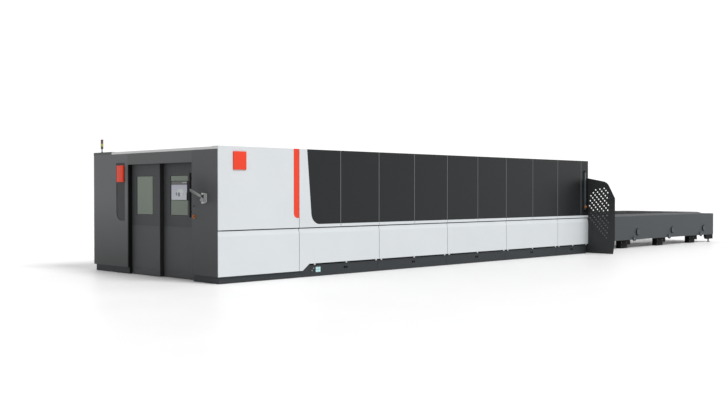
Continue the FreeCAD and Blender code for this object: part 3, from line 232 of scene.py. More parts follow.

# %% [markdown]
# ## Moulded plastic, rubber and glass
#
# Handles, lenses and button heads are moulded. Their skin is finer than paint and more even, and a
# clear coat over the colour gives the deep gloss of a polished mould. The laser safety glass in the
# doors is an even grey-green under painted light that makes it lighter towards the top, and nearly as
# dense as a welder's filter, so little shows through it.

# %% Moulded plastic
def moulded(name, colour, roughness, grain=0.00006, coat=0.0, ior=1.49):
    """Plastic or rubber with a fine eroded grain."""
    resin = Finish(name, IOR=ior, Coat_Weight=coat, Coat_Roughness=0.08)
    drift = resin.noise(14, detail=3)
    tone = resin.mixed(drift, shade(colour, 0.93), shade(colour, 1.07))
    resin.feed(Base_Color=tone, Roughness=drift * 0.10 + (roughness - 0.05))
    resin.bumps(resin.noise(900), grain)
    return resin.material


def lamp_lens(name, colour, glow):
    """A coloured lens with the upright ribs that spread its lamp's light."""
    lens = Finish(name, IOR=1.49, Coat_Weight=0.5, Coat_Roughness=0.06, Emission_Strength=glow)
    ribs = lens.node("TexWave", {"bands_direction": "Y", "wave_profile": "SIN"},
                     {"Vector": lens.place(), "Scale": 60.0})
    tone = lens.mixed(ribs, shade(colour, 0.7), shade(colour, 1.15))
    lens.feed(Base_Color=tone, Emission_Color=tone, Roughness=lens.noise(40) * 0.1 + 0.2)
    lens.bumps(ribs, 0.0006)
    return lens.material


def safety_glass(name, colour, density):
    """Laser safety glass: a grey-green tint with painted light that makes it lighter towards the top, and
    faint wiping marks in its gloss.
    """
    pane = Finish(name, IOR=1.45, Coat_Weight=0.2, Coat_Roughness=0.05)
    # Painted light: the glass is lighter towards the top.
    tone = pane.mixed(pane.steps(pane.axis("Z"), 1.2, 2.1), shade(colour, 0.90), shade(colour, 1.06))
    smear = pane.noise(3.0, detail=5, stretch=(1, 1, 0.4))
    pane.feed(Base_Color=tone, Roughness=pane.steps(smear, 0.45, 0.75) * 0.12 + 0.16,
              Alpha=smear * 0.06 + density)
    return pane.material


print("plastics and glass are ready")

# %% [markdown]
# ## Bare metal
#
# Rails are ground, screws are zinc plated, tracks and belt come from the mill. What they share is a grain
# with one direction, made here by stretching the noise along it, and a gloss that follows the grain.
# The slats stand in the cut itself: heat tints them brown and blue, and dull spatter sticks to them.

# %% Bare metal with a grain
def bare_metal(name, colour, roughness, stretch, scratch=0.00005, dulling=0.12):
    """Metal with a directional grain: the noise is long where the stretch is small."""
    metal = Finish(name, Metallic=1.0)
    grain = metal.noise(90, detail=3, stretch=stretch)
    patches = metal.noise(2.5, detail=4)
    tone = metal.mixed(grain, shade(colour, 0.86), shade(colour, 1.08))
    metal.feed(Base_Color=tone, Roughness=grain * 0.14 + patches * dulling + (roughness - 0.13))
    metal.bumps(grain, scratch)
    return metal.material


def burnt_steel(name, colour):
    """Slat steel near the cut: grey scale, brown and blue heat tint, and dull spatter."""
    steel = Finish(name, Metallic=0.7)
    heat = steel.steps(steel.noise(7, detail=5), 0.45, 0.70)
    tinted = steel.mixed(heat * 0.8, shade(colour), (0.055, 0.048, 0.042, 1.0))
    blue = steel.steps(steel.noise(11, detail=3), 0.60, 0.72)
    tinted = steel.mixed(blue * 0.6, tinted, (0.045, 0.055, 0.075, 1.0))
    spatter = steel.steps(steel.noise(160, detail=2), 0.58, 0.66)
    steel.feed(Base_Color=steel.mixed(spatter * 0.5, tinted, (0.04, 0.037, 0.034, 1.0)),
               Roughness=heat * 0.2 + spatter * 0.2 + 0.45)
    steel.bumps(spatter, 0.0004)
    return steel.material


print("metals are ready")

# %% [markdown]
# ## Finishes for every part of the frame
#
# The imported record names a material slot for every node. One finish is made for each slot, and every
# node of the frame gets the finish of its slot; the node's shape stays as it is. A few pieces of the
# same coat get a finish of their own: the roof sheets a plain grey white, the header a lighter tone, the
# doors a tone that is darker above a line, and the left column painted light and shade, lighter towards
# the top. Written as tables, the coats can be compared at a glance: colour, roughness, and what is
# special. The dark coats mirror little of the white studio, which a low index of refraction gives.

# %% Tables of finishes
DULL, DEEP = 1.36, 1.34
DARK = {"fleck": 0.2, "ior": DULL}
PAINTS = {
    "white_cover": ((0.556, 0.582, 0.600), 0.42, {"cloud": 0.02}),
    "roof_white": ((0.56, 0.56, 0.56), 0.4, {"cloud": 0.01}),
    # The rises of dark_cover, dark_frame and left_paint are painted light and shade: lighter towards the
    # roof, darker towards the floor. The doors' rise only darkens them above 1.035 m.
    "dark_cover": ((0.038, 0.040, 0.042), 0.55, {**DARK, "rise": (0.3, 2.1, 1.9)}),
    "dark_frame": ((0.054, 0.057, 0.060), 0.5, {"rise": (0.3, 2.1, 1.9), "ior": DULL}),
    "door_paint": ((0.052, 0.055, 0.058), 0.55, {**DARK, "rise": (1.034, 1.036, 0.74)}),
    "header_paint": ((0.086, 0.089, 0.091), 0.55, DARK),
    "left_paint": ((0.045, 0.047, 0.049), 0.55, {**DARK, "rise": (0.3, 1.5, 2.3)}),
    "plinth_grey": ((0.027, 0.031, 0.034), 0.6, {"fleck": 0.2, "ior": 1.33}),
    "guard_grey": ((0.022, 0.024, 0.025), 0.6, {"fleck": 0.2}),
    "table_grey": ((0.044, 0.051, 0.056), 0.55, {"ior": DULL}),
    "hub_dark": ((0.010, 0.011, 0.012), 0.6, {"ior": 1.3}),
    "hub_grey": ((0.050, 0.057, 0.062), 0.45, {"ior": DULL}),
    "lug_grey": ((0.060, 0.068, 0.073), 0.45, {"ior": DULL}),
    "bed_grey": ((0.14, 0.15, 0.16), 0.5, {}),
    "bridge_paint": ((0.50, 0.52, 0.53), 0.4, {}),
    "head_case": ((0.62, 0.63, 0.64), 0.35, {}),
    "pallet_steel": ((0.046, 0.051, 0.055), 0.6, {"cloud": 0.08, "ior": DULL}),
    "badge_red": ((0.69, 0.044, 0.0155), 0.45, {"skin": 0.00004, "cloud": 0.02, "ior": 1.35}),
    "arm_silver": ((0.38, 0.39, 0.39), 0.45, {"skin": 0.00003}),
    "tube_silver": ((0.24, 0.25, 0.25), 0.45, {"skin": 0.00003}),
}
PLASTICS = {
    "black_panel": ((0.0060, 0.0072, 0.0084), 0.38, {"grain": 0.00001, "ior": DEEP}),
    "recess_black": ((0.026, 0.027, 0.029), 0.5, {"ior": DEEP}),
    "black_trim": ((0.0035, 0.0035, 0.004), 0.7, {"ior": 1.25}),
    "black_rubber": ((0.005, 0.005, 0.0055), 0.8, {"grain": 0.0001}),
    "seal_grey": ((0.115, 0.118, 0.122), 0.6, {}),
    "port_cap": ((0.42, 0.64, 0.66), 0.4, {}),
    "monitor_case": ((0.008, 0.008, 0.009), 0.6, {"ior": 1.3}),
    "stop_yellow": ((0.30, 0.14, 0.015), 0.5, {}),
    "stop_red": ((0.30, 0.050, 0.018), 0.45, {}),
    "screen": ((0.50, 0.51, 0.58), 0.2, {}),
}
METALS = {
    "ground_steel": ((0.60, 0.61, 0.62), 0.28, {"stretch": (0.02, 1, 1)}),
    "track_steel": ((0.34, 0.34, 0.35), 0.42, {"stretch": (0.03, 1, 1)}),
    "conveyor_steel": ((0.28, 0.28, 0.28), 0.5, {"stretch": (1, 0.05, 1)}),
    "zinc": ((0.50, 0.51, 0.52), 0.38, {"stretch": (1, 1, 1)}),
    "copper": ((0.72, 0.36, 0.20), 0.3, {"stretch": (1, 1, 0.1)}),
}
finishes = {
    # The lens finish has a faint painted glow.
    "lens": lamp_lens("lens", (0.42, 0.40, 0.05), 0.1),
    "safety_glass": safety_glass("safety_glass", (0.106, 0.140, 0.103), 0.94),
    "slat_steel": burnt_steel("slat_steel", (0.140, 0.146, 0.152)),
}
for make, table in ((powder_coat, PAINTS), (moulded, PLASTICS), (bare_metal, METALS)):
    for name, (colour, roughness, more) in table.items():
        finishes[name] = make(name, colour, roughness, **more)
print(len(finishes), "finishes")

# %% Paint the frame
OWN_FINISH = {"roof_sheets": "roof_white", "door_1_leaf": "door_paint", "door_2_leaf": "door_paint",
              "door_header": "header_paint", "front_column_left": "left_paint"}
for part in frame["record"]["subparts"]:
    mesh = frame["nodes"][part["node"]].data
    mesh.materials.clear()
    mesh.materials.append(finishes[OWN_FINISH.get(part["node"], part["material_slot"])])
print(len(frame["nodes"]), "nodes are painted")

# %% [markdown]
# ## A small mesh workshop
#
# The pieces that follow are built from three kinds of closed shape: a block with eased edges, a shape
# turned on a lathe from its profile, and an outline pushed along an axis. Each is a few lines of bmesh
# code. They could be primitives with modifiers, but then every piece would need its own object for each
# lump; here a whole handle or button is one mesh, and its edges catch the light as real ones do.

# %% Shapes that a piece is made of
AXES = {"X": Vector((1, 0, 0)), "Y": Vector((0, 1, 0)), "Z": Vector((0, 0, 1))}
UP = (0, 0, 1)
EASED_FROM = 0.35  # radians between two faces, from which their edge is eased


class Form:
    """A mesh in the making: closed shapes are added to it one by one."""

    def __init__(self):
        self.mesh = bmesh.new()

    def eased(self, points, edge, segments):
        """Round the edges at some points."""
        if edge:
            edges = list(dict.fromkeys(e for p in points for e in p.link_edges
                                       if e.calc_face_angle(0) > EASED_FROM))
            bmesh.ops.bevel(self.mesh, geom=edges, offset=edge, segments=segments, profile=0.5,
                            affect="EDGES", clamp_overlap=True)

    def block(self, low, high, edge=0.0, segments=2, matrix=None):
        """A box between two corners with its edges rounded, moved by an optional matrix."""
        before = set(self.mesh.verts)
        low, high = Vector(low), Vector(high)
        points = bmesh.ops.create_cube(self.mesh, size=1.0)["verts"]
        for point in points:
            point.co = Vector([l + (h - l) * (c + 0.5) for l, h, c in zip(low, high, point.co)])
        self.eased(points, edge, segments)
        if matrix:
            fresh = [point for point in self.mesh.verts if point not in before]
            bmesh.ops.transform(self.mesh, matrix=matrix, verts=fresh)
        return self

    def prism(self, outline, axis, start, end, edge=0.0, segments=2):
        """An outline in the plane square to an axis, pushed from a start to an end along it."""
        other = [letter for letter in "XYZ" if letter != axis]
        rings = []
        for level in (start, end):
            rings.append([self.mesh.verts.new(AXES[other[0]] * a + AXES[other[1]] * b + AXES[axis] * level)
                          for a, b in outline])
        self.closed(rings, capped=(True, True))
        self.eased(rings[0] + rings[1], edge, segments)
        return self

    def turned(self, centre, direction, profile, steps=32, bored=False):
        """A profile of (radius, height) pairs spun about a line through a centre; bored leaves a hole."""
        tilt = Vector(UP).rotation_difference(Vector(direction)).to_matrix()
        rings = []
        for radius, height in profile:
            turns = [2 * math.pi * i / steps for i in range(steps)] if radius else [0.0]
            spots = [Vector((radius * math.cos(t), radius * math.sin(t), height)) for t in turns]
            rings.append([self.mesh.verts.new(Vector(centre) + tilt @ spot) for spot in spots])
        if bored:
            rings.append(rings[0])
        self.closed(rings, capped=(not bored and bool(profile[0][0]), not bored and bool(profile[-1][0])))
        return self

    def closed(self, rings, capped):
        """Join rings of points with faces, and close the first and last ring if asked."""
        for ring, following in zip(rings, rings[1:]):
            count = max(len(ring), len(following))
            for i in range(count):
                j = (i + 1) % count
                corners = [ring[i % len(ring)], ring[j % len(ring)],
                           following[j % len(following)], following[i % len(following)]]
                self.mesh.faces.new(list(dict.fromkeys(corners)))
        for ring, wanted in zip((rings[0], rings[-1]), capped):
            if wanted:
                self.mesh.faces.new(ring)

    def rim(self, low, high, axis, width, edge=0.0):
        """A flat picture frame between two corners, square to an axis, as four bars that meet."""
        a, b = ["XYZ".index(letter) for letter in "XYZ" if letter != axis]
        for across, along in ((a, b), (b, a)):
            for side in (0, 1):
                near, far = list(low), list(high)
                if side:
                    near[across] = high[across] - width
                else:
                    far[across] = low[across] + width
                if across == b:
                    near[along] += width
                    far[along] -= width
                self.block(near, far, edge)
        return self


print("the workshop has blocks, prisms, turned shapes and rims")

# %% From a form to a piece on a body
SHARP_FROM = math.radians(32)


def shown(name, data):
    """Put some data into the scene as an object at the origin."""
    thing = bpy.data.objects.new(name, data)
    bpy.context.scene.collection.objects.link(thing)
    return thing


def finished(name, mesh, body, slot, stands_for=(), finish=None):
    """Make an object of a mesh, give it its finish and its body, and hide the parts it stands for."""
    mesh.materials.clear()
    mesh.materials.append(finish or finishes[slot])
    mesh.shade_smooth()
    mesh.set_sharp_from_angle(angle=SHARP_FROM)
    thing = shown(name, mesh)
    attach(thing, body)
    if stands_for:
        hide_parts(*stands_for)
    print(f"{name}: {len(mesh.polygons)} faces on {body}")


def piece(name, form, body, slot, **choices):
    """A finished piece from a form, with all its faces pointing outwards."""
    bmesh.ops.recalc_face_normals(form.mesh, faces=form.mesh.faces)
    mesh = bpy.data.meshes.new(name)
    form.mesh.to_mesh(mesh)
    form.mesh.free()
    finished(name, mesh, body, slot, **choices)


def middle(node):
    """The centre of a node's box."""
    low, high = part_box(node)
    return (low + high) / 2


print("forms can become pieces")

# %% [markdown]
# ## Recipes for what repeats
#
# Slats, screws, seam strips and conveyor plates are one shape many times over. Geometry Nodes suits
# that: a tree says how one of them looks and where the next one goes, and its named inputs are the
# sizes. The result is turned into a plain mesh at once, so nothing stays live in the file.

# %% A Geometry Nodes recipe
class Recipe(Graph):
    """A Geometry Nodes tree with named inputs that is grown into a piece."""

    prefix = "GeometryNode"

    def __init__(self, name, **inputs):
        self.tree = bpy.data.node_groups.new(name, "GeometryNodeTree")
        sockets = self.tree.interface
        sockets.new_socket("Points", in_out="INPUT", socket_type="NodeSocketGeometry")
        for label, kind in inputs.items():
            sockets.new_socket(label, in_out="INPUT", socket_type="NodeSocket" + kind)
        sockets.new_socket("Finish", in_out="INPUT", socket_type="NodeSocketMaterial")
        sockets.new_socket("Result", in_out="OUTPUT", socket_type="NodeSocketGeometry")
        self.start = self.tree.nodes.new("NodeGroupInput")
        self.end = self.tree.nodes.new("NodeGroupOutput")

    def given(self, label):
        """One of the recipe's own inputs."""
        return Value(self.start.outputs[label])

    def serve(self, geometry):
        """End the tree: realize the copies and give them the finish."""
        real = self.node("RealizeInstances", sockets={"Geometry": geometry})
        coated = self.node("SetMaterial", sockets={"Geometry": real, "Material": self.given("Finish")})
        plug(self.end.inputs["Result"], coated)

    def repeated(self, instance):
        """Copies of a shape on the recipe's points."""
        return self.node("InstanceOnPoints", sockets={"Points": self.given("Points"), "Instance": instance})

    def grow(self, name, body, slot, points=(), finish=None, stands_for=(), **sizes):
        """Run the recipe on some points and keep its result as a plain mesh."""
        cloud = bpy.data.meshes.new(name + "_points")
        cloud.from_pydata([tuple(point) for point in points], [], [])
        seed = shown(name + "_seed", cloud)
        modifier = seed.modifiers.new("recipe", "NODES")
        modifier.node_group = self.tree
        sizes["Finish"] = finish or finishes[slot]
        for item in self.tree.interface.items_tree:
            if item.in_out == "INPUT" and item.name in sizes:
                modifier[item.identifier] = sizes[item.name]
        grown = bpy.data.meshes.new_from_object(seed.evaluated_get(bpy.context.evaluated_depsgraph_get()))
        bpy.data.objects.remove(seed)
        grown.name = name
        finished(name, grown, body, slot, finish=finish, stands_for=stands_for)


print("recipes can be grown")

# %% [markdown]
# ## Seals in the glazed band
#
# The dark glazing is nine panels side by side. A grey rubber seal with a T section closes each joint:
# its web sits in the gap and its head laps a few millimetres over both panels, which draws the fine
# upright lines along the band. One recipe makes the T from its named sizes and repeats it on the joints.

# %% Where the cover modules meet
MODULES = 9
SEAM = 0.012
GLAZING_GAP = 0.003
LAP = 0.0015
CORNER_JOINT_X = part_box("corner_cover")[1].x + SEAM / 2
POST_JOINT_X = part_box("end_post")[0].x - SEAM / 2
JOINTS = [CORNER_JOINT_X + i * (POST_JOINT_X - CORNER_JOINT_X) / MODULES for i in range(MODULES + 1)]
print("module joints at", [round(x - FRONT_X, 3) for x in JOINTS])

# %% The seal recipe and the seals
seal = Recipe("seam_seal", Width="Float", Proud="Float", Web="Float", Depth="Float", Length="Float")
seal_head = seal.node("MeshCube", sockets={
    "Size": seal.vector(seal.given("Width"), seal.given("Proud"), seal.given("Length"))})
seal_web = seal.node("MeshCube", sockets={
    "Size": seal.vector(seal.given("Web"), seal.given("Depth"), seal.given("Length"))})
seal_web = seal.node("Transform", sockets={
    "Geometry": seal_web,
    "Translation": seal.vector(0.0, (seal.given("Depth") + seal.given("Proud")) * 0.5, 0.0)})
seal_section = seal.node("JoinGeometry", sockets={"Geometry": [seal_head, seal_web]})
seal.serve(seal.repeated(seal_section))

post_low, post_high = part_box("end_post")
SEAL_PROUD = 0.002
SEAL_DEPTH = 0.03
JOINT_FILL = SEAM - 0.0004
seal.grow("glazing_seals", "frame", "black_rubber", finish=finishes["seal_grey"],
          points=[(x, post_low.y - SEAL_PROUD / 2, (post_low.z + post_high.z) / 2) for x in JOINTS[1:]],
          Width=SEAM + 2 * LAP, Proud=SEAL_PROUD, Web=JOINT_FILL, Depth=SEAL_DEPTH,
          Length=post_high.z - post_low.z)

# %% [markdown]
# ## Dark joints between the white covers
#
# White sheet steel covers never touch: a gap of some millimetres hides tolerances, and a black foam
# strip behind it keeps the laser's stray light in. The strip is what makes the joints read as crisp dark
# lines, so it is modelled, a little behind the faces. The long strips are one box on one point each.

# %% Foam strips behind the joints
strip = Recipe("strip", Size="Vector")
strip.serve(strip.repeated(strip.node("MeshCube", sockets={"Size": strip.given("Size")})))

lower_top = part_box("lower_covers")[1].z
upper_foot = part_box("window_surround")[0].z
FOAM_SET_BACK = 0.022
FOAM_DEPTH = 0.03
FOAM_END = 0.02
FOAM_SLACK = 0.0004
ROOF_INSET = 0.004
COVER_FOOT = 0.270
foam_y = NEAR_Y + FOAM_SET_BACK + FOAM_DEPTH / 2
band_high = post_low.z - GLAZING_GAP


def foam(name, xs, width, foot, head):
    """Upright strips of foam behind the covers, from a foot to a head, on some places along X."""
    strip.grow(name, "frame", "black_rubber", points=[(x, foam_y, (foot + head) / 2) for x in xs],
               Size=(width, FOAM_DEPTH, head - foot))


foam("foam_split", [(FRONT_X + REAR_X) / 2], REAR_X - FRONT_X - 2 * FOAM_END,
     lower_top + FOAM_SLACK / 2, upper_foot - FOAM_SLACK / 2)
foam("foam_lower", JOINTS[0:MODULES:2], JOINT_FILL, COVER_FOOT, lower_top)
foam("foam_band", JOINTS[1:], JOINT_FILL, upper_foot, band_high)
foam("foam_corner", JOINTS[:1], JOINT_FILL, upper_foot, ROOF_Z - ROOF_INSET)

# %% [markdown]
# ## Painted shadow strip over the plinth
#
# Under the white covers a black strip runs along the plinth's top: a painted shadow, the dark line
# between white and grey where the covers shade the plinth. Its section is a folded strip, so a prism does.

# %% Plinth shadow strip
PLINTH_SET_BACK = 0.040
PLINTH_END = 0.041
STEP_FROM_FRONT = 2.262
SHADOW_STRIP_LOW, SHADOW_STRIP_HIGH = 0.238, 0.2695
plinth_face = NEAR_Y + PLINTH_SET_BACK
# A black strip that paints the shadow under the white covers.
shadow_strip = Form()
shadow_strip.prism([(plinth_face - 0.004, SHADOW_STRIP_LOW), (plinth_face + 0.020, SHADOW_STRIP_LOW), (plinth_face + 0.020, SHADOW_STRIP_HIGH),
           (plinth_face - 0.008, SHADOW_STRIP_HIGH)], "X", FRONT_X + STEP_FROM_FRONT, REAR_X - PLINTH_END)
piece("plinth_shadow_strip", shadow_strip, "frame", "black_trim")

# %% [markdown]
# ## Screws
#
# A hexagon screw on its washer is two short cylinders. The recipe makes one, turns it to face the
# way its wall faces, and puts it on every point that it is given, be they rows or rings.

# %% The screw recipe
screw = Recipe("screw", Radius="Float", Height="Float", Turn="Vector")
washer = screw.node("MeshCylinder", sockets={
    "Vertices": 16, "Radius": screw.given("Radius") * 1.3, "Depth": screw.given("Height") * 0.3})
head = screw.node("MeshCylinder", sockets={
    "Vertices": 6, "Radius": screw.given("Radius"), "Depth": screw.given("Height") * 0.7})
washer = screw.node("Transform", sockets={
    "Geometry": washer, "Translation": screw.vector(0.0, 0.0, screw.given("Height") * 0.15)})
head = screw.node("Transform", sockets={
    "Geometry": head, "Translation": screw.vector(0.0, 0.0, screw.given("Height") * 0.65)})
both = screw.node("JoinGeometry", sockets={"Geometry": [washer, head]})
both = screw.node("Transform", sockets={"Geometry": both, "Rotation": screw.given("Turn")})
screw.serve(screw.repeated(both))

QUARTER = math.pi / 2
FACING = {"-X": (0, -QUARTER, 0), "+X": (0, QUARTER, 0), "-Y": (QUARTER, 0, 0), "+Y": (-QUARTER, 0, 0)}


def screws(name, body, slot, way, radius, height, points):
    """Zinc-plated screws of one size on some points of a wall that faces one way."""
    screw.grow(name, body, slot, finish=finishes["zinc"], Radius=radius, Height=height, Turn=FACING[way],
               points=points)


PLINTH_SCREWS = ((2.412, 0.168), (2.365, 0.124))  # places along the plinth and up it
screws("plinth_screws", "frame", "ground_steel", "-Y", 0.008, 0.006,
       [(FRONT_X + along, plinth_face, up) for along, up in PLINTH_SCREWS])

# %% [markdown]
# ## Signal tower
#
# Three lamps on a thin pole say from afar what the machine does. Each lens is a ribbed tube between
# black rings, so the tower is turned on a lathe in stages: foot and pole, the rings, and one piece
# for each colour. The lamps are off in the picture, which leaves the lenses dark and saturated; each
# lens still has a faint painted glow.

# %% Signal tower
tower_low, tower_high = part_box("signal_tower")
TOWER = ((tower_low.x + tower_high.x) / 2, (tower_low.y + tower_high.y) / 2)
CAP_LAP = 0.002
LENS_RADIUS = (tower_high.x - tower_low.x) / 2 - CAP_LAP
LENS_INSET = 0.0015
POLE_HEIGHT = 0.095
RING = 0.004
LAMPS = {"green": (0.044, (0.020, 0.036, 0.008)), "yellow": (0.070, (0.36, 0.36, 0.045)),
         "red": (0.074, (0.105, 0.038, 0.042))}  # height and colour of each lens, from below


def disc(radius, height):
    """The profile of a plain round disc."""
    return [(0, 0), (radius, 0), (radius, height), (0, height)]


pole = Form().turned((*TOWER, tower_low.z), UP, [
    (0, 0), (0.030, 0), (0.030, 0.005), (0.017, 0.016), (0.0105, 0.030), (0.0105, 0.080),
    (0.022, 0.088), (LENS_RADIUS, POLE_HEIGHT - RING), (LENS_RADIUS, POLE_HEIGHT), (0, POLE_HEIGHT)])
level = tower_low.z + POLE_HEIGHT
for lamp, (height, tone) in LAMPS.items():
    glass = Form().turned((*TOWER, level), UP, disc(LENS_RADIUS - LENS_INSET, height - RING))
    # Each lens has a faint painted glow, though its lamp is off.
    piece(f"lens_{lamp}", glass, "frame", "lens", finish=lamp_lens(f"lens_{lamp}", tone, 0.05))
    pole.turned((*TOWER, level + height - RING), UP, disc(LENS_RADIUS, RING))
    level += height
cap = tower_high.z - level
pole.turned((*TOWER, level), UP, [
    (0, 0), (LENS_RADIUS, 0), (LENS_RADIUS + CAP_LAP, cap * 0.4), (LENS_RADIUS, cap * 0.85), (0.018, cap),
    (0, cap)])
piece("tower_pole", pole, "frame", "lens", stands_for=("signal_tower",), finish=finishes["black_trim"])

# %% [markdown]
# ## Stop buttons, lock and key
#
# A stop button has a red mushroom head, broad enough for the flat of a hand, over a yellow collar. It
# is pushed in by a few millimetres, so the head rides on its own body and keeps clear of the collar.
# All of it is round and comes off the lathe; the key's bow is a flat ring with its blade.

# %% Collars and heads
COLLAR = [(0.0082, 0), (0.042, 0), (0.042, 0.009), (0.037, 0.015), (0.0082, 0.015)]
MUSHROOM = [(0, 0.007), (0.008, 0.007), (0.008, 0.022), (0.026, 0.022), (0.029, 0.025), (0.029, 0.031),
            (0.0265, 0.0365), (0.019, 0.0405), (0.009, 0.042), (0, 0.042)]
BARREL = [(0, 0), (0.013, 0), (0.013, 0.006), (0.0115, 0.008), (0.008, 0.008), (0.008, 0.0072), (0, 0.0072)]

front_stop = middle("stop_button_front")
rear_stop = middle("stop_button_rear")
barrier_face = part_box("light_barriers")[0].y
front_seat = (FRONT_X, front_stop.y, front_stop.z)
rear_seat = (rear_stop.x, barrier_face, rear_stop.z)

collars = Form().turned(front_seat, (-1, 0, 0), COLLAR, bored=True)
collars.turned(rear_seat, (0, -1, 0), COLLAR, bored=True)
piece("stop_collars", collars, "frame", "stop_yellow", stands_for=("control_collars",))
piece("stop_head_front", Form().turned(front_seat, (-1, 0, 0), MUSHROOM), "stop_front", "stop_red",
      stands_for=("stop_button_front",))
piece("stop_head_rear", Form().turned(rear_seat, (0, -1, 0), MUSHROOM), "stop_rear", "stop_red",
      stands_for=("stop_button_rear",))

# %% Lock and key
key_low, key_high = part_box("switch_key")
key_y, key_z = middle("switch_key").yz
BOW_HOLE = 0.004
BLADE = 0.004
piece("lock_barrel", Form().turned((FRONT_X, key_y, key_z), (-1, 0, 0), BARREL), "frame", "stop_yellow",
      finish=finishes["black_trim"])
bow_radius = (key_high.z - key_low.z) / 2
bow_width = key_high.y - key_low.y
key = Form().turned((key_low.x + bow_radius, key_low.y, key_z), (0, 1, 0), [
    (BOW_HOLE, 0), (bow_radius, 0), (bow_radius, bow_width), (BOW_HOLE, bow_width)], bored=True, steps=24)
key.block((key_low.x + 1.7 * bow_radius, key_low.y, key_z - BLADE), (key_high.x, key_high.y, key_z + BLADE))
piece("key", key, "key", "ground_steel", stands_for=("switch_key",), finish=finishes["track_steel"])

# %% [markdown]
# ## The operator's monitor
#
# The monitor is a flat housing with a thin raised bezel and a grip at one lower corner. The display is
# on, with a plain machine screen: a dark bar along the top, a pale field, a soft round dial and a few dark
# marks. No image is needed for that. Each region is a comparison of the point's own coordinates, and
# multiplying comparisons keeps what fulfils them all.

# %% Housing, bezel and grip
case_low, case_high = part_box("monitor_housing")
glass_low, glass_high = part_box("monitor_screen")
BEZEL, BEZEL_INSET, BEZEL_DEPTH = 0.0095, 0.001, 0.004
GRIP = Vector((0.016, 0.026, 0.150))
grip_corner = Vector((glass_low.x, case_low.y, case_low.z))
case = Form().block(case_low, case_high, edge=0.006, segments=3)
case.rim((glass_low.x, case_low.y + BEZEL_INSET, case_low.z + BEZEL_INSET),
         (case_low.x + BEZEL_DEPTH, case_high.y - BEZEL_INSET, case_high.z - BEZEL_INSET), "X", BEZEL,
         edge=0.001)
case.block(grip_corner, grip_corner + GRIP, edge=0.003)
piece("monitor_case", case, "monitor", "monitor_case", stands_for=("monitor_housing",))

# %% The display's picture
PANE_SET_BACK = 0.0015


def display(name, low, high, glow):
    """A lit machine screen whose regions are compared from the place on the glass."""
    screen = Finish(name, IOR=1.5, Coat_Weight=0.3, Coat_Roughness=0.05, Emission_Strength=glow)
    across = (screen.axis("Y") - low.y) * (1 / (high.y - low.y))
    up = (screen.axis("Z") - low.z) * (1 / (high.z - low.z))

    def region(left, right, bottom, top):
        return (across > left) * (across < right) * (up > bottom) * (up < top)

    field = screen.mixed(screen.steps(up, 0.0, 0.8), (0.34, 0.355, 0.375, 1), (0.275, 0.28, 0.35, 1))
    reach = (across - 0.42) ** 2.0 + (up - 0.40) ** 2.0
    dial = 1 - screen.steps(reach, 0.02, 0.075)
    tone = screen.mixed(dial * 0.7, field, (0.40, 0.43, 0.39, 1))
    ring = (reach > 0.040) * (reach < 0.046)
    tone = screen.mixed(ring * 0.3, tone, (0.20, 0.22, 0.22, 1))
    marks = (region(0.630, 0.715, 0.24, 0.40) + region(0.445, 0.575, 0.19, 0.40)
             + region(0.225, 0.275, 0.27, 0.37) * 0.5)
    tone = screen.mixed(marks * 0.95, tone, (0.06, 0.06, 0.11, 1))
    tone = screen.mixed(region(0.0, 1.0, 0.82, 1.0), tone, (0.022, 0.024, 0.025, 1))
    tone = screen.mixed(region(0.0, 1.0, 0.80, 0.835), tone, (0.09, 0.09, 0.105, 1))
    keys = region(0.03, 0.30, 0.90, 0.96) * (((across * 14.0) % 1.0) > 0.25)
    tone = screen.mixed(keys * 0.6, tone, (0.40, 0.40, 0.40, 1))
    screen.feed(Base_Color=tone, Emission_Color=tone, Roughness=screen.noise(20) * 0.05 + 0.12)
    return screen.material


pane = Form().block((glass_low.x + PANE_SET_BACK, glass_low.y, glass_low.z), glass_high, edge=0.0008,
                    segments=1)
piece("monitor_display", pane, "monitor", "screen", stands_for=("monitor_screen",),
      finish=display("display", glass_low, glass_high, 0.12))

# %% [markdown]
# ## Arm, bracket and head
#
# The monitor hangs on an arm of rounded, silver coated tube that climbs from a bracket on the column.
# The bracket holds an upright pin between two ears; the arm turns on it, and the monitor turns in the
# sleeve at the arm's upper end. The tube is a long eased block that a matrix tilts into its place.

# %% Pivots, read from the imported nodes
arm_low, arm_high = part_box("monitor_arm")
bracket_low, bracket_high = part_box("monitor_bracket")
KNUCKLE, KNUCKLE_HEIGHT = 0.024, 0.066
PIN = 0.010
EAR = 0.036
PLATE_INSET = (0.022, 0.012)
RUNNING = 0.0003
BORE = PIN + RUNNING
SLEEVE = 0.076
TUBE_DROP = 0.079
pivot = Vector((arm_high.x - KNUCKLE, arm_low.y + KNUCKLE, bracket_low.z + EAR + RUNNING))
elbow = Vector((arm_low.x + KNUCKLE, arm_high.y - KNUCKLE, arm_high.z - SLEEVE / 2))
print("arm from", [round(v, 3) for v in pivot], "to", [round(v, 3) for v in elbow])

# %% The arm
TUBE_HALF = (0.019, 0.022)
TUBE_START = 0.030
LINK_FAR, LINK_NEAR, LINK_HALF = 0.036, 0.012, 0.012
KNOB = [(0, 0), (0.011, 0), (0.011, 0.004), (0.017, 0.006), (0.018, 0.009), (0.018, 0.014), (0.015, 0.017),
        (0.008, 0.018), (0, 0.018)]


def cylinder(radius, height, ease=0.0025):
    """The profile of a round bar with its end edges taken off."""
    return [(0, 0), (radius - ease, 0), (radius, ease), (radius, height - ease), (radius - ease, height),
            (0, height)]


def tube(height, ease):
    """The profile of a sleeve on the arm's pins, with its outer edges taken off."""
    return [(BORE, 0), (KNUCKLE - ease, 0), (KNUCKLE, ease), (KNUCKLE, height - ease),
            (KNUCKLE - ease, height), (BORE, height)]


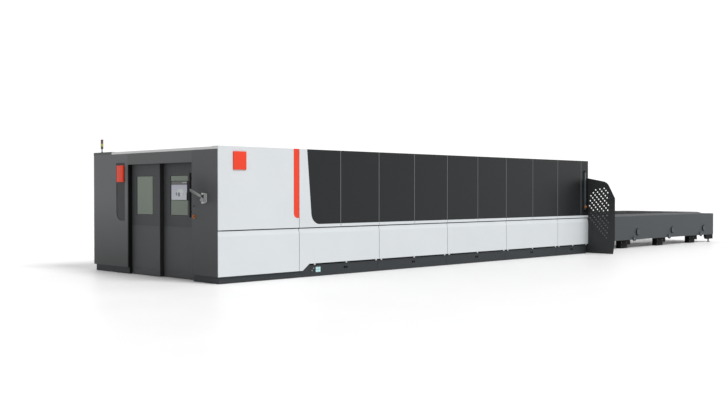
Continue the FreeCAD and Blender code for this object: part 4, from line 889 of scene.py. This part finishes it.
tube_foot = Vector((pivot.x, pivot.y, bracket_high.z - TUBE_DROP))
reach = elbow - tube_foot
slope = reach.to_track_quat("X", "Z").to_matrix().to_4x4()
arm = Form().block((TUBE_START, -TUBE_HALF[0], -TUBE_HALF[1]), (reach.length, *TUBE_HALF), edge=0.009,
                   segments=4, matrix=Matrix.Translation(tube_foot) @ slope)
arm.turned(pivot, UP, cylinder(KNUCKLE, KNUCKLE_HEIGHT))
arm.block((pivot.x - LINK_FAR, pivot.y - LINK_HALF, pivot.z),
          (pivot.x - LINK_NEAR, pivot.y + LINK_HALF, tube_foot.z), edge=0.006, segments=3)
arm.turned((pivot.x - LINK_FAR, pivot.y, pivot.z + KNUCKLE_HEIGHT / 2), (-1, 0, 0), KNOB)
arm.turned((elbow.x, elbow.y, elbow.z - SLEEVE / 2), UP, tube(SLEEVE, 0.002), bored=True)
piece("arm_tube", arm, "arm", "arm_silver", stands_for=("monitor_arm",), finish=finishes["tube_silver"])

PIN_PROUD = 0.004
pin = Form().turned((pivot.x, pivot.y, bracket_low.z - PIN_PROUD), UP,
                    cylinder(PIN, bracket_high.z - bracket_low.z + 2 * PIN_PROUD, 0.001))
piece("arm_pin", pin, "arm", "arm_silver", finish=finishes["monitor_case"])

# %% The bracket
PLATE = 0.012
EAR_STEP = 0.004
BRACKET_SCREWS = (0.011, 0.055, 0.050)  # from the sides, from the foot, from the top
bracket = Form().block((FRONT_X - PLATE, bracket_low.y, bracket_low.z + PLATE_INSET[0]),
                       (FRONT_X, bracket_high.y, bracket_high.z - PLATE_INSET[1]), edge=0.003)
for ear_low in (bracket_low.z, bracket_high.z - EAR):
    bracket.turned((pivot.x, pivot.y, ear_low), UP, tube(EAR, 0.003), bored=True)
    bracket.block((pivot.x + BORE, pivot.y - EAR / 2, ear_low + EAR_STEP),
                  (FRONT_X - PLATE + 0.001, pivot.y + EAR / 2, ear_low + EAR - EAR_STEP), edge=0.003)
piece("arm_bracket", bracket, "frame", "arm_silver", stands_for=("monitor_bracket",))
screws("bracket_screws", "frame", "arm_silver", "-X", 0.0055, 0.005,
       [(FRONT_X - PLATE, y, z)
        for y in (bracket_low.y + BRACKET_SCREWS[0], bracket_high.y - BRACKET_SCREWS[0])
        for z in (bracket_low.z + BRACKET_SCREWS[1], bracket_high.z - BRACKET_SCREWS[2])])

# %% The swivelling head behind the monitor
head_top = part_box("monitor_head")[1].z
POST = 0.018
PAD, PAD_DEPTH = 0.055, 0.010
PAD_SCREW = 0.043
shoulder = elbow.z - SLEEVE / 2 - RUNNING
axis_z = shoulder - POST
back_x = case_high.x
swivel = Form().turned((elbow.x, elbow.y, shoulder), UP, cylinder(PIN, head_top - shoulder, 0.001))
swivel.block((back_x, elbow.y - POST, axis_z - POST), (elbow.x + POST, elbow.y + POST, shoulder),
             edge=0.004, segments=3)
swivel.block((back_x, elbow.y - PAD, axis_z - PAD), (back_x + PAD_DEPTH, elbow.y + PAD, axis_z + PAD),
             edge=0.003)
piece("swivel_head", swivel, "monitor", "arm_silver", stands_for=("monitor_head",))
screws("head_screws", "monitor", "arm_silver", "+X", 0.005, 0.004,
       [(back_x + PAD_DEPTH, elbow.y + a, axis_z + b) for a in (-PAD_SCREW, PAD_SCREW)
        for b in (-PAD_SCREW, PAD_SCREW)])

# %% [markdown]
# ## Doors: handle and window gaskets
#
# The rear door carries a long flat handle, rounded so that it is kind to the hand. Both windows sit in
# black rubber gaskets that lap over the glass and the sheet.

# %% Handle
handle_low, handle_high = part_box("door_handle")
BAR = 0.024
FOOT = 0.030
FOOT_INSET = 0.100
BEDDED = 0.002
handle = Form().block(handle_low, (handle_low.x + BAR, handle_high.y, handle_high.z), edge=0.009, segments=4)
handle_y = (handle_low.y + handle_high.y) / 2
for foot_low in (handle_low.z + FOOT_INSET, handle_high.z - FOOT_INSET - FOOT):
    handle.block((handle_low.x + BAR - BEDDED, handle_y - FOOT / 2, foot_low),
                 (handle_high.x, handle_y + FOOT / 2, foot_low + FOOT), edge=0.003)
piece("long_handle", handle, "door_rear", "black_trim", stands_for=("door_handle",))

# %% Gaskets
GASKET, GASKET_LAP, GASKET_PROUD = 0.008, 0.004, 0.0015
for door, body in (("door_1", "door_front"), ("door_2", "door_rear")):
    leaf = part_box(door + "_leaf")[0].x
    low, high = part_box(door + "_window")
    gasket = Form().rim((leaf - GASKET_PROUD, low.y - GASKET_LAP, low.z - GASKET_LAP),
                        (low.x + 0.001, high.y + GASKET_LAP, high.z + GASKET_LAP), "X", GASKET, edge=0.0012)
    piece(f"{door}_gasket", gasket, body, "black_rubber")

# %% [markdown]
# ## Badges, ports and light barriers
#
# The two red badges are bare plates with softened edges. The four service ports are closed by moulded
# caps. The light barriers are slim posts whose dark lens strip looks along the shuttle table's side.

# %% Badges
for badge in ("side_badge", "front_badge"):
    piece(badge + "_plate", Form().block(*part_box(badge), edge=0.009, segments=4), "frame", "badge_red",
          stands_for=(badge,))

# %% Port caps
ports_low, ports_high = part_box("service_ports")
PORT = Vector((0.063, 0, 0.051))
CAP_PROUD = 0.003
caps = Form()
for port_x in (ports_low.x, ports_high.x - PORT.x):
    for port_z in (ports_low.z, ports_high.z - PORT.z):
        caps.block((port_x, ports_low.y, port_z),
                   (port_x + PORT.x, ports_high.y + CAP_PROUD, port_z + PORT.z), edge=0.0035)
        caps.turned((port_x + PORT.x / 2, ports_low.y + CAP_PROUD / 2, port_z + PORT.z / 2), (0, 1, 0),
                    cylinder(0.011, 0.004, 0.001), steps=20)
piece("port_caps", caps, "frame", "port_cap", stands_for=("service_ports",))

# %% Light barriers
barrier_low, barrier_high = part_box("light_barriers")
CAP, CAP_INSET, CAP_OVERLAP = 0.045, 0.002, 0.001
LENS_END, LENS_SIDE = 0.06, 0.018
POST_DEPTH, CAP_DEPTH, LENS_DEPTH = 0.019, 0.018, 0.020
NEAR_RECESS = 0.008  # the covers are this much thinner where the near post stands


def upright(form, side, inset, foot, head, depth, edge):
    """A stretch of the post on one side of the machine, standing out from the covers by a depth."""
    inner = -NEAR_Y - (NEAR_RECESS if side < 0 else 0)
    near, far = sorted((side * inner, side * (-NEAR_Y + depth)))
    form.block((barrier_low.x + inset, near, foot), (barrier_high.x - inset, far, head), edge=edge)


barriers, lenses, ends = Form(), Form(), Form()
for side in (-1, 1):
    upright(barriers, side, 0.0, barrier_low.z + CAP, barrier_high.z - CAP, POST_DEPTH, 0.003)
    for foot, head in ((barrier_low.z, barrier_low.z + CAP + CAP_OVERLAP),
                       (barrier_high.z - CAP - CAP_OVERLAP, barrier_high.z)):
        upright(ends, side, CAP_INSET, foot, head, CAP_DEPTH, 0.005)
    lens_foot = (barrier_low.z if side > 0 else rear_stop.z) + LENS_END
    upright(lenses, side, LENS_SIDE, lens_foot, barrier_high.z - LENS_END, LENS_DEPTH, 0.001)
piece("barrier_posts", barriers, "frame", "table_grey", stands_for=("light_barriers",))
piece("barrier_ends", ends, "frame", "table_grey", finish=finishes["black_trim"])
piece("barrier_lenses", lenses, "frame", "table_grey",
      finish=lamp_lens("barrier_lens", (0.045, 0.060, 0.070), 0.0))

# %% [markdown]
# ## Flange at the front corner
#
# The lower cover's top is bevelled, and at the front corner the bevel would leave the dark column bare
# beside it. The white sheet is folded round there, a thin flange on the column's side, so one block does.

# %% Corner flange of the lower cover
column_low, column_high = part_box("front_column_right")
FLANGE, FLANGE_FOOT = 0.0025, 0.051
FLANGE_START, FLANGE_LAP = 0.0005, 0.004
flange = Form().block((column_low.x + FLANGE_START, column_low.y - FLANGE, lower_top - FLANGE_FOOT),
                      (column_high.x + FLANGE_LAP, column_low.y, lower_top), edge=0.0005, segments=1)
piece("corner_flange", flange, "frame", "white_cover")

# %% [markdown]
# ## Shuttle table
#
# The hubs on the table's side plates carry the lifting rollers: a turned body with a dark rim and a
# bright, bolted face. The smaller lugs below them take the lifting chains. Each is one profile on the
# lathe, and the bolts on the faces are the screw recipe again, on rings of points.

# %% Hubs and lugs
side_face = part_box("table_sides")[0].y
hubs_low, hubs_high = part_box("table_hubs")
HUB, LUG = 0.108, 0.078
HUB_COUNT = 3
BEAM_WIDTH = 0.150
FACE_SINK = 0.010
LUG_OFFSET = 0.232
LUG_Z, HUB_Z = hubs_low.z + LUG, hubs_high.z - HUB
hub_depth = hubs_high.y + side_face
lug_depth = side_face - hubs_low.y
beams_low, beams_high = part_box("table_cross_beams")
hub_pitch = (beams_high.x - beams_low.x - BEAM_WIDTH) / HUB_COUNT
hub_xs = [hubs_high.x - HUB - i * hub_pitch for i in range(HUB_COUNT)]

rims, faces, lugs = Form(), Form(), Form()
hub_rim = [(0, 0), (HUB, 0), (HUB, hub_depth - 0.012), (HUB - 0.006, hub_depth - 0.006),
           (HUB - 0.016, hub_depth - 0.006), (HUB - 0.016, hub_depth - FACE_SINK), (0, hub_depth - FACE_SINK)]
hub_face = [(0, 0), (HUB - 0.017, 0), (HUB - 0.017, 0.006), (HUB - 0.021, 0.010), (0.040, 0.010),
            (0.036, 0.006), (0, 0.006)]
lug_body = [(0, 0), (LUG, 0), (LUG, lug_depth - 0.006), (LUG - 0.006, lug_depth), (LUG - 0.018, lug_depth),
            (LUG - 0.022, lug_depth - 0.008), (0, lug_depth - 0.008)]
for x in hub_xs:
    for side in (-1, 1):
        rims.turned((x, -side * side_face, HUB_Z), (0, side, 0), hub_rim, steps=48)
        faces.turned((x, side * (hub_depth - side_face - FACE_SINK), HUB_Z), (0, side, 0), hub_face, steps=48)
    lugs.turned((x - LUG_OFFSET, side_face, LUG_Z), (0, -1, 0), lug_body, steps=40)
piece("hub_bodies", rims, "frame", "table_grey", stands_for=("table_hubs",), finish=finishes["hub_dark"])
piece("hub_faces", faces, "frame", "table_grey", finish=finishes["hub_grey"])
piece("chain_lugs", lugs, "frame", "table_grey", finish=finishes["lug_grey"])

# %% Bolts on the hubs and lugs
BOLT_RING, BOLTS = 0.068, 6
BOLT = 0.0075


def ring(centre, radius, count):
    """Points evenly round a centre in the plane of the side plates."""
    turns = [2 * math.pi * (i + 0.5) / count for i in range(count)]
    return [(centre[0] + radius * math.cos(t), centre[1], centre[2] + radius * math.sin(t)) for t in turns]


face_y = hub_depth - side_face - 0.004
for side, label, way in ((-1, "near", "-Y"), (1, "far", "+Y")):
    screws("hub_bolts_" + label, "frame", "table_grey", way, BOLT, 0.0035,
           [spot for x in hub_xs for spot in ring((x, side * face_y, HUB_Z), BOLT_RING, BOLTS)])
screws("lug_bolts", "frame", "table_grey", "-Y", BOLT, 0.0055,
       [(x - LUG_OFFSET, side_face - lug_depth + 0.008, LUG_Z) for x in hub_xs])

# %% [markdown]
# ## Jacks and feet
#
# Black jack blocks stand under the side plates, each with an arm that reaches to one side at the
# height of the plate's lower edge. The free end of the table stands on two levelling feet: a block with
# a bevelled corner, a threaded stem with its nut, and a round-edged pad on the floor.

# %% Jacks
jacks_low, jacks_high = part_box("table_jacks")
JACK_OFFSET, JACK_LENGTH, JACK_STEP, JACK_ARM_LOW = 0.805, 0.395, 0.020, 0.100
JACK_WIDTH, JACK_HEIGHT, JACK_REACH = 0.165, 0.232, 0.220
LID = Vector((0.030, 0.012, 0.008))
LID_BEDDED = 0.002
SCREW_IN, SCREW_UP = 0.04, 0.05
jacks = Form()
for x in hub_xs:
    start = x - JACK_OFFSET
    for side in (-1, 1):
        near, far = sorted(side * (-jacks_low.y - reach_in) for reach_in in (0, JACK_WIDTH))
        jacks.block((start, near, 0), (start + JACK_LENGTH, far, JACK_HEIGHT), edge=0.008)
        step_near, step_far = (near + JACK_STEP, far) if side < 0 else (near, far - JACK_STEP)
        jacks.block((start + JACK_STEP, step_near, JACK_ARM_LOW),
                    (start + JACK_LENGTH + JACK_REACH, step_far, jacks_high.z), edge=0.005)
        jacks.block((start + LID.x, near + LID.y, JACK_HEIGHT - LID_BEDDED),
                    (start + JACK_LENGTH - LID.x, far - LID.y, JACK_HEIGHT + LID.z), edge=0.002)
piece("jack_blocks", jacks, "frame", "black_panel", stands_for=("table_jacks",),
      finish=finishes["black_trim"])
screws("jack_screws", "frame", "black_panel", "-Y", 0.006, 0.005,
       [(x - JACK_OFFSET + a, jacks_low.y, b) for x in hub_xs for a in (SCREW_IN, JACK_LENGTH - SCREW_IN)
        for b in (SCREW_UP, JACK_HEIGHT - SCREW_UP)])

# %% End feet
feet_low, feet_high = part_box("table_end_feet")
FOOT_WIDTH, FOOT_HEIGHT, FOOT_BEVEL = 0.080, 0.155, 0.085
underside = feet_high.z - FOOT_HEIGHT
foot_outline = [(feet_low.x + FOOT_BEVEL, underside), (feet_high.x, underside), (feet_high.x, feet_high.z),
                (feet_low.x, feet_high.z), (feet_low.x, underside + FOOT_BEVEL)]
foot_stem = [(0, 0), (0.050, 0), (0.050, 0.014), (0.042, 0.020), (0.030, 0.024), (0.022, 0.026),
             (0.022, underside - 0.018), (0.034, underside - 0.018), (0.034, underside - 0.001),
             (0.022, underside - 0.001), (0.022, underside + 0.002), (0, underside + 0.002)]
feet = Form()
for side in (-1, 1):
    near, far = sorted(side * (-side_face - reach_in) for reach_in in (0, FOOT_WIDTH))
    feet.prism(foot_outline, "Y", near, far, edge=0.004)
    feet.turned(((feet_low.x + feet_high.x) / 2, side * (-side_face - FOOT_WIDTH / 2), 0), UP, foot_stem)
piece("levelling_feet", feet, "frame", "table_grey", stands_for=("table_end_feet",),
      finish=finishes["black_trim"])

# %% [markdown]
# ## Slats on the pallets
#
# A sheet lies on the tips of upright slats, so that the cut drops what it burns away between them. Each
# slat is a thin strip with a saw-tooth crest. The recipe starts from a flat grid, sinks every other
# point of its crest, gives it the sheet's thickness and stands it up. The tips wear where the beam
# crosses them: after the copies are made, soft noise lowers the crest a little here and there.

# %% The slat recipe
PALLET_PITCHES = 118
TEETH = 30
TOOTH_DEPTH = 0.028
TIP_WEAR = 0.009
WORN_FROM = 0.42
slats = Recipe("slats", Length="Float", Height="Float", Thickness="Float", Tooth="Float", Crest="Float")
spot = slats.node("InputPosition")
along, over, height = [slats.node("ShaderNodeSeparateXYZ", sockets={"Vector": spot}, output=axis)
                       for axis in "XYZ"]
flat = slats.node("MeshGrid", sockets={
    "Size X": slats.given("Length"), "Size Y": slats.given("Height"), "Vertices X": 2 * TEETH + 1,
    "Vertices Y": 2})
phase = ((along + slats.given("Length") * 0.5) / slats.given("Tooth")) % 1.0
valley = 1 - (phase > 0.25) * (phase < 0.75)
flat = slats.node("SetPosition", sockets={
    "Geometry": flat, "Offset": slats.vector(0.0, valley * (over > 0.0) * -TOOTH_DEPTH, 0.0)})
solid = slats.node("ExtrudeMesh", sockets={
    "Mesh": flat, "Offset Scale": slats.given("Thickness"), "Individual": False})
back = slats.node("FlipFaces", sockets={"Mesh": flat})
solid = slats.node("JoinGeometry", sockets={"Geometry": [solid, back]})
solid = slats.node("MergeByDistance", sockets={"Geometry": solid, "Distance": 0.0001})
solid = slats.node("Transform", sockets={"Geometry": solid, "Rotation": (QUARTER, 0, QUARTER)})
rows = slats.node("RealizeInstances", sockets={"Geometry": slats.repeated(solid)})
noise = slats.node("ShaderNodeTexNoise", sockets={"Vector": spot, "Scale": 1.7, "Detail": 4.0})
worn = (height > slats.given("Crest")) * ((noise - WORN_FROM) * (noise > WORN_FROM)) * (-4.0 * TIP_WEAR)
slats.serve(slats.node("SetPosition", sockets={"Geometry": rows, "Offset": slats.vector(0.0, 0.0, worn)}))
print("the slat recipe has", len(slats.tree.nodes), "nodes")

# %% Both pallets' slats
SLAT = 0.004
CREST_FROM = 0.05
for pallet, body in (("pallet_a", "pallet_upper"), ("pallet_b", "pallet_lower")):
    low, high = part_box(pallet + "_slats")
    pitch = (high.x - low.x - SLAT) / PALLET_PITCHES
    slats.grow(pallet + "_field", body, "slat_steel", stands_for=(pallet + "_slats",),
               points=[(low.x + i * pitch, 0, (low.z + high.z) / 2) for i in range(PALLET_PITCHES + 1)],
               Length=high.y - low.y, Height=high.z - low.z, Thickness=SLAT,
               Tooth=(high.y - low.y) / TEETH, Crest=low.z + CREST_FROM)

# %% [markdown]
# ## Scrap conveyor
#
# Under the cutting zone a belt of hinged steel plates carries the scrap out. The recipe turns the
# corner points of the belt's path into a closed curve, walks along it in equal steps and lays a plate
# with a low ridge on every step, turned to the path.

# %% The belt recipe
PLATE_COUNT = 132
PLATE_THICK = 0.008
RIDGE = 0.018
belt = Recipe("belt", Width="Float", Pitch="Float", Thick="Float", Ridge="Float")
path = belt.node("MeshToPoints", sockets={"Mesh": belt.given("Points")})
path = belt.node("PointsToCurves", sockets={"Points": path})
path = belt.node("SetSplineCyclic", sockets={"Geometry": path, "Cyclic": True})
path = belt.node("ResampleCurve", sockets={"Curve": path, "Count": PLATE_COUNT})
board = belt.node("MeshCube", sockets={
    "Size": belt.vector(belt.given("Pitch") * 0.94, belt.given("Width"), belt.given("Thick"))})
ridge = belt.node("MeshCube", sockets={
    "Size": belt.vector(belt.given("Thick"), belt.given("Width") * 0.94, belt.given("Ridge"))})
board = belt.node("JoinGeometry", sockets={"Geometry": [board, ridge]})
heading = belt.node("FunctionNodeAlignRotationToVector", {"axis": "X", "pivot_axis": "Y"},
                    {"Vector": belt.node("InputTangent")})
belt.serve(belt.node("InstanceOnPoints", sockets={"Points": path, "Instance": board, "Rotation": heading}))
print("the belt recipe has", len(belt.tree.nodes), "nodes")

# %% Plates and side frames
conveyor_low, conveyor_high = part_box("scrap_conveyor")
PATH_IN, PATH_UP = 0.016, 0.0125
SIDE_GAP = 0.020
CHEEK, CHEEK_INSET = 0.018, 0.012
taper = (conveyor_high.z - conveyor_low.z) / 3
left, right = conveyor_low.x + PATH_IN, conveyor_high.x - PATH_IN
foot, top = conveyor_low.z + PATH_UP, conveyor_high.z - PATH_UP


def belt_outline(inset):
    """The eight corners of the belt's path, as (x, z) pairs, drawn in by an inset."""
    return [(left + taper, foot + inset), (right - taper, foot + inset), (right - inset, foot + taper),
            (right - inset, top - taper), (right - taper, top - inset), (left + taper, top - inset),
            (left + inset, top - taper), (left + inset, foot + taper)]


belt.grow("conveyor_plates", "frame", "conveyor_steel", points=[(x, 0, z) for x, z in belt_outline(0)],
          Width=conveyor_high.y - conveyor_low.y - 2 * SIDE_GAP, Thick=PLATE_THICK, Ridge=RIDGE,
          Pitch=2 * (right - left) / PLATE_COUNT)
cheeks = Form()
for near in (conveyor_low.y, conveyor_high.y - CHEEK):
    cheeks.prism(belt_outline(CHEEK_INSET), "Y", near, near + CHEEK, edge=0.002, segments=1)
for x in (left + taper, right - taper):
    cheeks.turned((x, conveyor_low.y + CHEEK, (foot + top) / 2), (0, 1, 0),
                  cylinder(taper - CHEEK_INSET, conveyor_high.y - conveyor_low.y - 2 * CHEEK))
piece("conveyor_frame", cheeks, "frame", "conveyor_steel", stands_for=("scrap_conveyor",))

# %% [markdown]
# ## Gantry and cutting head
#
# The bridge is a welded box beam on two trucks that run on the bed's rails. The carriage slides along
# its face and holds the cutting head: a closed case, a barrel for the lens and a small copper nozzle.
# Edges of castings and welded boxes are broken, so every block here is eased.

# %% Bridge and carriage
bridge_low, bridge_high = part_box("gantry_bridge")
carriage_low, carriage_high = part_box("head_carriage")
TRUCK_WIDTH = 0.160
TRUCK_LAP = 0.004
BRIDGE_DEPTH = 0.340
CORNER_SCREW = 0.03
truck_top = carriage_low.z
beam_x = (bridge_low.x + bridge_high.x - BRIDGE_DEPTH) / 2
bridge = Form().block((beam_x, bridge_low.y, truck_top),
                      (beam_x + BRIDGE_DEPTH, bridge_high.y, bridge_high.z), edge=0.014, segments=3)
for near in (bridge_low.y, bridge_high.y - TRUCK_WIDTH):
    bridge.block((bridge_low.x, near, bridge_low.z),
                 (bridge_high.x, near + TRUCK_WIDTH, truck_top + TRUCK_LAP), edge=0.010)
piece("bridge", bridge, "gantry", "bridge_paint", stands_for=("gantry_bridge",))
piece("carriage_plate", Form().block(carriage_low, carriage_high, edge=0.006), "carriage", "bridge_paint",
      stands_for=("head_carriage",))
screws("carriage_screws", "carriage", "bridge_paint", "-X", 0.009, 0.007,
       [(carriage_low.x, y, z) for y in (carriage_low.y + CORNER_SCREW, carriage_high.y - CORNER_SCREW)
        for z in (carriage_low.z + CORNER_SCREW, (carriage_low.z + carriage_high.z) / 2,
                  carriage_high.z - CORNER_SCREW)])

# %% Cutting head and nozzle
torch_low, torch_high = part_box("cutting_head")
LENS_BARREL, BARREL_LENGTH = 0.048, 0.090
NOZZLE, NOZZLE_LENGTH = 0.012, 0.050
SUNK = 0.002
torch = middle("cutting_head")
torch.z = torch_low.z + NOZZLE_LENGTH
cutting = Form().block((torch_low.x, torch_low.y, torch.z + BARREL_LENGTH), torch_high, edge=0.012,
                       segments=3)
cutting.turned(torch, UP, [
    (0, 0), (0.030, 0), (0.034, 0.004), (0.034, 0.022), (LENS_BARREL - 0.004, 0.034), (LENS_BARREL, 0.038),
    (LENS_BARREL, BARREL_LENGTH + SUNK), (0, BARREL_LENGTH + SUNK)], steps=48)
piece("cutting_head_case", cutting, "torch", "head_case", stands_for=("cutting_head",))
tip = Form().turned((torch.x, torch.y, torch_low.z), UP, [
    (0, 0), (0.0035, 0), (0.0065, 0.010), (0.0110, 0.024), (NOZZLE, 0.026), (NOZZLE, NOZZLE_LENGTH + SUNK),
    (0, NOZZLE_LENGTH + SUNK)])
piece("nozzle", tip, "torch", "head_case", finish=finishes["copper"])

# %% [markdown]
# ## Studio
#
# The picture is a product shot on white: floor and background burn out to pure white, and only the
# machine's soft shadow is left of them. The light is a broad sun, steep over the long near side and a
# little from the rear end, so the dark front lies in half shade, and a white surround fills the rest.
# Two switches of the Light Path make the surround brighter for what is seen straight or in a gloss
# than for what lights the machine.

# %% Floor
FLOOR_HALF = 150.0
floor_mesh = bpy.data.meshes.new("floor")
floor_mesh.from_pydata([(-FLOOR_HALF, -FLOOR_HALF, 0), (FLOOR_HALF, -FLOOR_HALF, 0),
                        (FLOOR_HALF, FLOOR_HALF, 0), (-FLOOR_HALF, FLOOR_HALF, 0)], [], [(0, 1, 2, 3)])
floor_mesh.materials.append(
    powder_coat("floor_white", (0.93, 0.93, 0.93), 0.4, skin=0.0, cloud=0.005, ior=1.15))
shown("floor", floor_mesh)
print("floor", 2 * FLOOR_HALF, "m wide")

# %% Surround
SURROUND_LIGHT = 0.64
SURROUND_SEEN = 1.08
world = bpy.data.worlds.new("studio")
bpy.context.scene.world = world
world.use_nodes = True


class Surround(Graph):
    """The world's node tree."""

    def __init__(self, tree, light, seen):
        self.tree = tree
        self.tree.nodes.clear()
        direct = self.node("LightPath", output="Is Camera Ray")
        mirrored = self.node("LightPath", output="Is Glossy Ray")
        strength = (direct + mirrored) * (seen - light) + light
        backdrop = self.node("Background", sockets={"Color": (1, 1, 1, 1), "Strength": strength})
        self.node("OutputWorld", sockets={"Surface": backdrop}, output=None)


Surround(world.node_tree, SURROUND_LIGHT, SURROUND_SEEN)
print("surround of", SURROUND_LIGHT, "as light and", SURROUND_SEEN, "as seen")

# %% Key light
SUN_FROM = Vector((0.12, -0.66, 0.74))
SUN_STRENGTH = 2.12
SUN_WIDTH = 0.4

sun = bpy.data.lights.new("key", "SUN")
sun.energy = SUN_STRENGTH
sun.angle = SUN_WIDTH
shown("key", sun).rotation_euler = SUN_FROM.to_track_quat("Z", "Y").to_euler()
print("key light of", SUN_STRENGTH)

# %% Camera
LENS_MM = 46.096
SENSOR_MM = 36.0
CAMERA_BACK, CAMERA_ASIDE, CAMERA_UP = 10.2653, 14.3001, 1.731
CAMERA_YAW, CAMERA_PITCH, CAMERA_ROLL = 0.79296, -0.0134, -0.0002

lens = bpy.data.cameras.new("camera")
lens.lens = LENS_MM
lens.sensor_width = SENSOR_MM
lens.clip_end = 500
camera = shown("camera", lens)
camera.location = (FRONT_X - CAMERA_BACK, NEAR_Y - CAMERA_ASIDE, CAMERA_UP)
sight = Vector((math.cos(CAMERA_YAW), math.sin(CAMERA_YAW), math.tan(CAMERA_PITCH)))
aim = sight.to_track_quat("-Z", "Y").to_matrix() @ Matrix.Rotation(CAMERA_ROLL, 3, "Z")
camera.rotation_euler = aim.to_euler()
bpy.context.scene.camera = camera
bpy.context.scene.view_settings.view_transform = "Standard"
print("camera at", tuple(round(c, 3) for c in camera.location))
